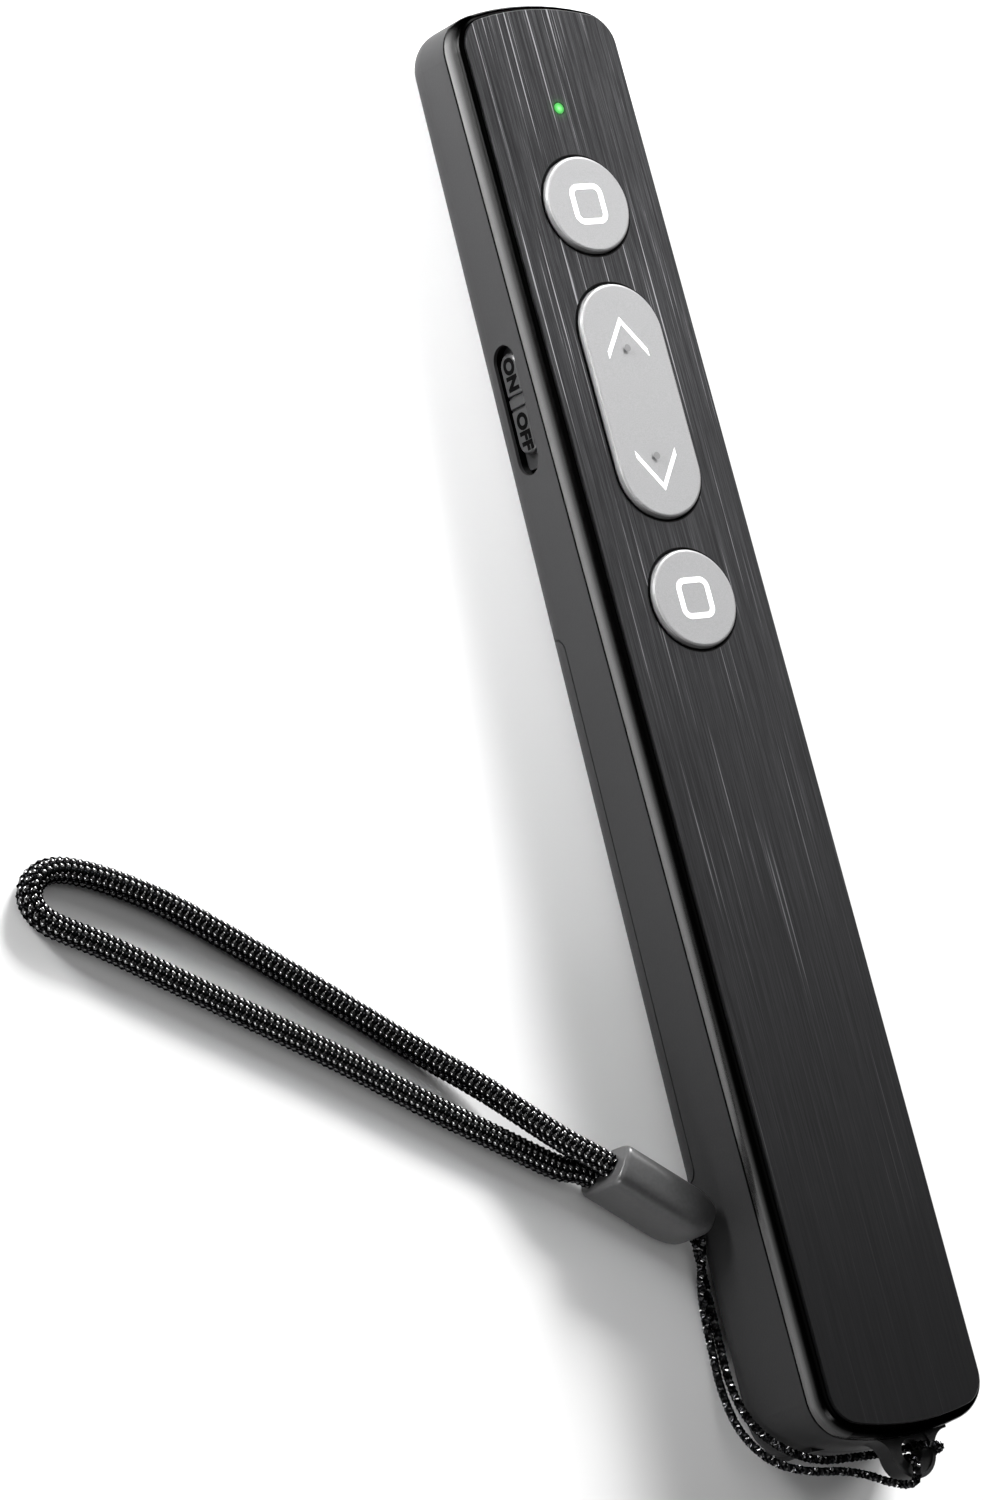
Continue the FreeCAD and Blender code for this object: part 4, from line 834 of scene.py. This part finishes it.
class CLICKER_OT_strap(bpy.types.Operator):
    """Connector, braided wrist cord and string"""
    bl_idname = "clicker.strap"
    bl_label = "Wrist strap"

    def execute(self, context):
        satin = plain_finish("strap_plastic", (0.055, 0.055, 0.056), 0.36)
        ahead = Vector((12.2, -8.8, 0)).normalized()
        turn = Matrix((Vector((0, 0, 1)).cross(ahead), (0, 0, 1), ahead)).transposed().to_4x4()
        cord_end = (-23.68 * MM, -46.96 * MM + sizes().middle_shift, 3.85 * MM)
        place = Matrix.Translation(cord_end) @ turn
        connector = put("connector", finished(connector_shape(), "connector", place), satin,
                        "clicker", smooth=0.9)
        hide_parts("strap_connector")
        black = tuple(colours().cord)
        grey = shade(black, 3)
        # Both braids paint their sheen: the bright way's crowns are painted lighter, and the dark
        # way is a shaded copy of the same yarn.
        cord, line, length = braid(
            "wrist_cord_braid", CORD_ROUTE, sizes().cord_diameter,
            strands=8, pitch=6.3 * MM, steps=3, sides=1,
            bright=lambda crossings: yarn("cord_yarn", black, (0.17, 0.17, 0.17), crossings),
            dark=lambda crossings: yarn("cord_yarn_shaded", black, shade(black, 5), crossings))
        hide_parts("wrist_cord")
        string, line, length = braid(
            "string_braid", STRING_ROUTE, sizes().string_diameter,
            strands=4, pitch=2.4 * MM, steps=3, sides=0,
            bright=lambda crossings: yarn("string_yarn", grey, (0.09, 0.09, 0.09), crossings),
            dark=lambda crossings: yarn("string_yarn_shaded", grey, shade(black, 6), crossings))
        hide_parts("string_loop")
        return {"FINISHED"}


def softbox(name, place, aim, wide, tall, power, spread=math.pi):
    """An area light at a place, facing a point."""
    light = bpy.data.lights.new(name, "AREA")
    light.shape = "RECTANGLE"
    light.size = wide
    light.size_y = tall
    light.energy = power
    light.spread = spread
    item = bpy.data.objects.new(name, light)
    item.location = place
    item.rotation_mode = "QUATERNION"
    item.rotation_quaternion = (Vector(aim) - Vector(place)).to_track_quat("-Z", "Y")
    bpy.context.scene.collection.objects.link(item)
    return item


class CLICKER_OT_stage(bpy.types.Operator):
    """Pale floor, studio light and camera"""
    bl_idname = "clicker.stage"
    bl_label = "Studio"

    def execute(self, context):
        scene = context.scene
        bm = bmesh.new()
        bmesh.ops.create_grid(bm, x_segments=2, y_segments=2, size=2.5)
        bmesh.ops.translate(bm, verts=bm.verts, vec=(0, 0, -0.00005))
        mesh = bpy.data.meshes.new("floor")
        bm.to_mesh(mesh)
        bm.free()
        floor = bpy.data.objects.new("floor", mesh)
        scene.collection.objects.link(floor)
        pale = Finish("pale_floor", (0.86, 0.86, 0.86), roughness=0.9, specular_ior_level=0.1)
        tone = pale.noise(pale.spot(), 3.0)
        pale.feed("Base Color", pale.ramp(tone, (0.3, 0.85), (0.7, 0.87)))
        mesh.materials.append(pale.material)
        world = bpy.data.worlds.new("studio")
        world.use_nodes = True
        background = world.node_tree.nodes["Background"]
        background.inputs["Color"].default_value = (1, 1, 1, 1)
        background.inputs["Strength"].default_value = 0.05
        scene.world = world
        softbox("key_panel", place=(0.80, 1.25, 0.66), aim=(-0.05, -0.05, 0),
                wide=0.60, tall=0.60, power=60.0)
        softbox("face_panel", place=(0.71, 0.31, 0.52), aim=(0, 0, 0),
                wide=0.30, tall=0.30, power=2.8)
        softbox("side_strip", place=(-0.20, 0.22, 0.05), aim=(-0.012, 0.09, 0.005),
                wide=0.20, tall=0.06, power=0.42, spread=math.radians(55))
        softbox("front_strip", place=(-0.45, -0.45, 0.10), aim=(-0.06, -0.03, 0),
                wide=0.25, tall=0.10, power=0.16, spread=math.radians(50))
        softbox("overhead", place=(-0.15, 0.10, 1.10), aim=(-0.04, 0, 0),
                wide=0.90, tall=0.90, power=2.0)
        camera = bpy.data.cameras.new("camera")
        camera.sensor_fit = "VERTICAL"
        camera.sensor_height = 36
        camera.lens = 201.14
        camera.clip_start = 0.05
        camera.clip_end = 20
        item = bpy.data.objects.new("camera", camera)
        turn = Matrix(((0.77934, 0.08395, -0.62095), (-0.23483, 0.95789, -0.16521),
                       (0.58094, 0.27457, 0.76624)))
        item.rotation_mode = "QUATERNION"
        item.rotation_quaternion = turn.to_quaternion()
        item.location = (-0.58109, -0.14601, 0.69024)
        scene.collection.objects.link(item)
        scene.camera = item
        scene.view_settings.view_transform = "Standard"
        return {"FINISHED"}


class CLICKER_PT_panel(bpy.types.Panel):
    """Lists the clicker's pieces"""
    bl_idname = "CLICKER_PT_panel"
    bl_label = "Presentation clicker"
    bl_space_type = "VIEW_3D"
    bl_region_type = "UI"
    bl_category = "Clicker"

    def draw(self, context):
        for group in (context.scene.clicker_sizes, context.scene.clicker_colours):
            for name in group.__annotations__:
                self.layout.prop(group, name)
        for operator in OPERATORS:
            self.layout.operator(operator.bl_idname)


GROUPS = (ClickerSizes, ClickerColours)
OPERATORS = (CLICKER_OT_stage, CLICKER_OT_plate, CLICKER_OT_bezel, CLICKER_OT_housing,
             CLICKER_OT_keys, CLICKER_OT_status_light, CLICKER_OT_power_switch,
             CLICKER_OT_inner_parts, CLICKER_OT_receiver, CLICKER_OT_strap)


def register():
    for item in (*GROUPS, *OPERATORS, CLICKER_PT_panel):
        bpy.utils.register_class(item)
    bpy.types.Scene.clicker_sizes = bpy.props.PointerProperty(type=ClickerSizes)
    bpy.types.Scene.clicker_colours = bpy.props.PointerProperty(type=ClickerColours)


def unregister():
    del bpy.types.Scene.clicker_colours
    del bpy.types.Scene.clicker_sizes
    for item in reversed((*GROUPS, *OPERATORS, CLICKER_PT_panel)):
        bpy.utils.unregister_class(item)


def main():
    register()
    for operator in OPERATORS:
        group, name = operator.bl_idname.split(".")
        getattr(getattr(bpy.ops, group), name)()


if __name__ == "__main__":
    main()
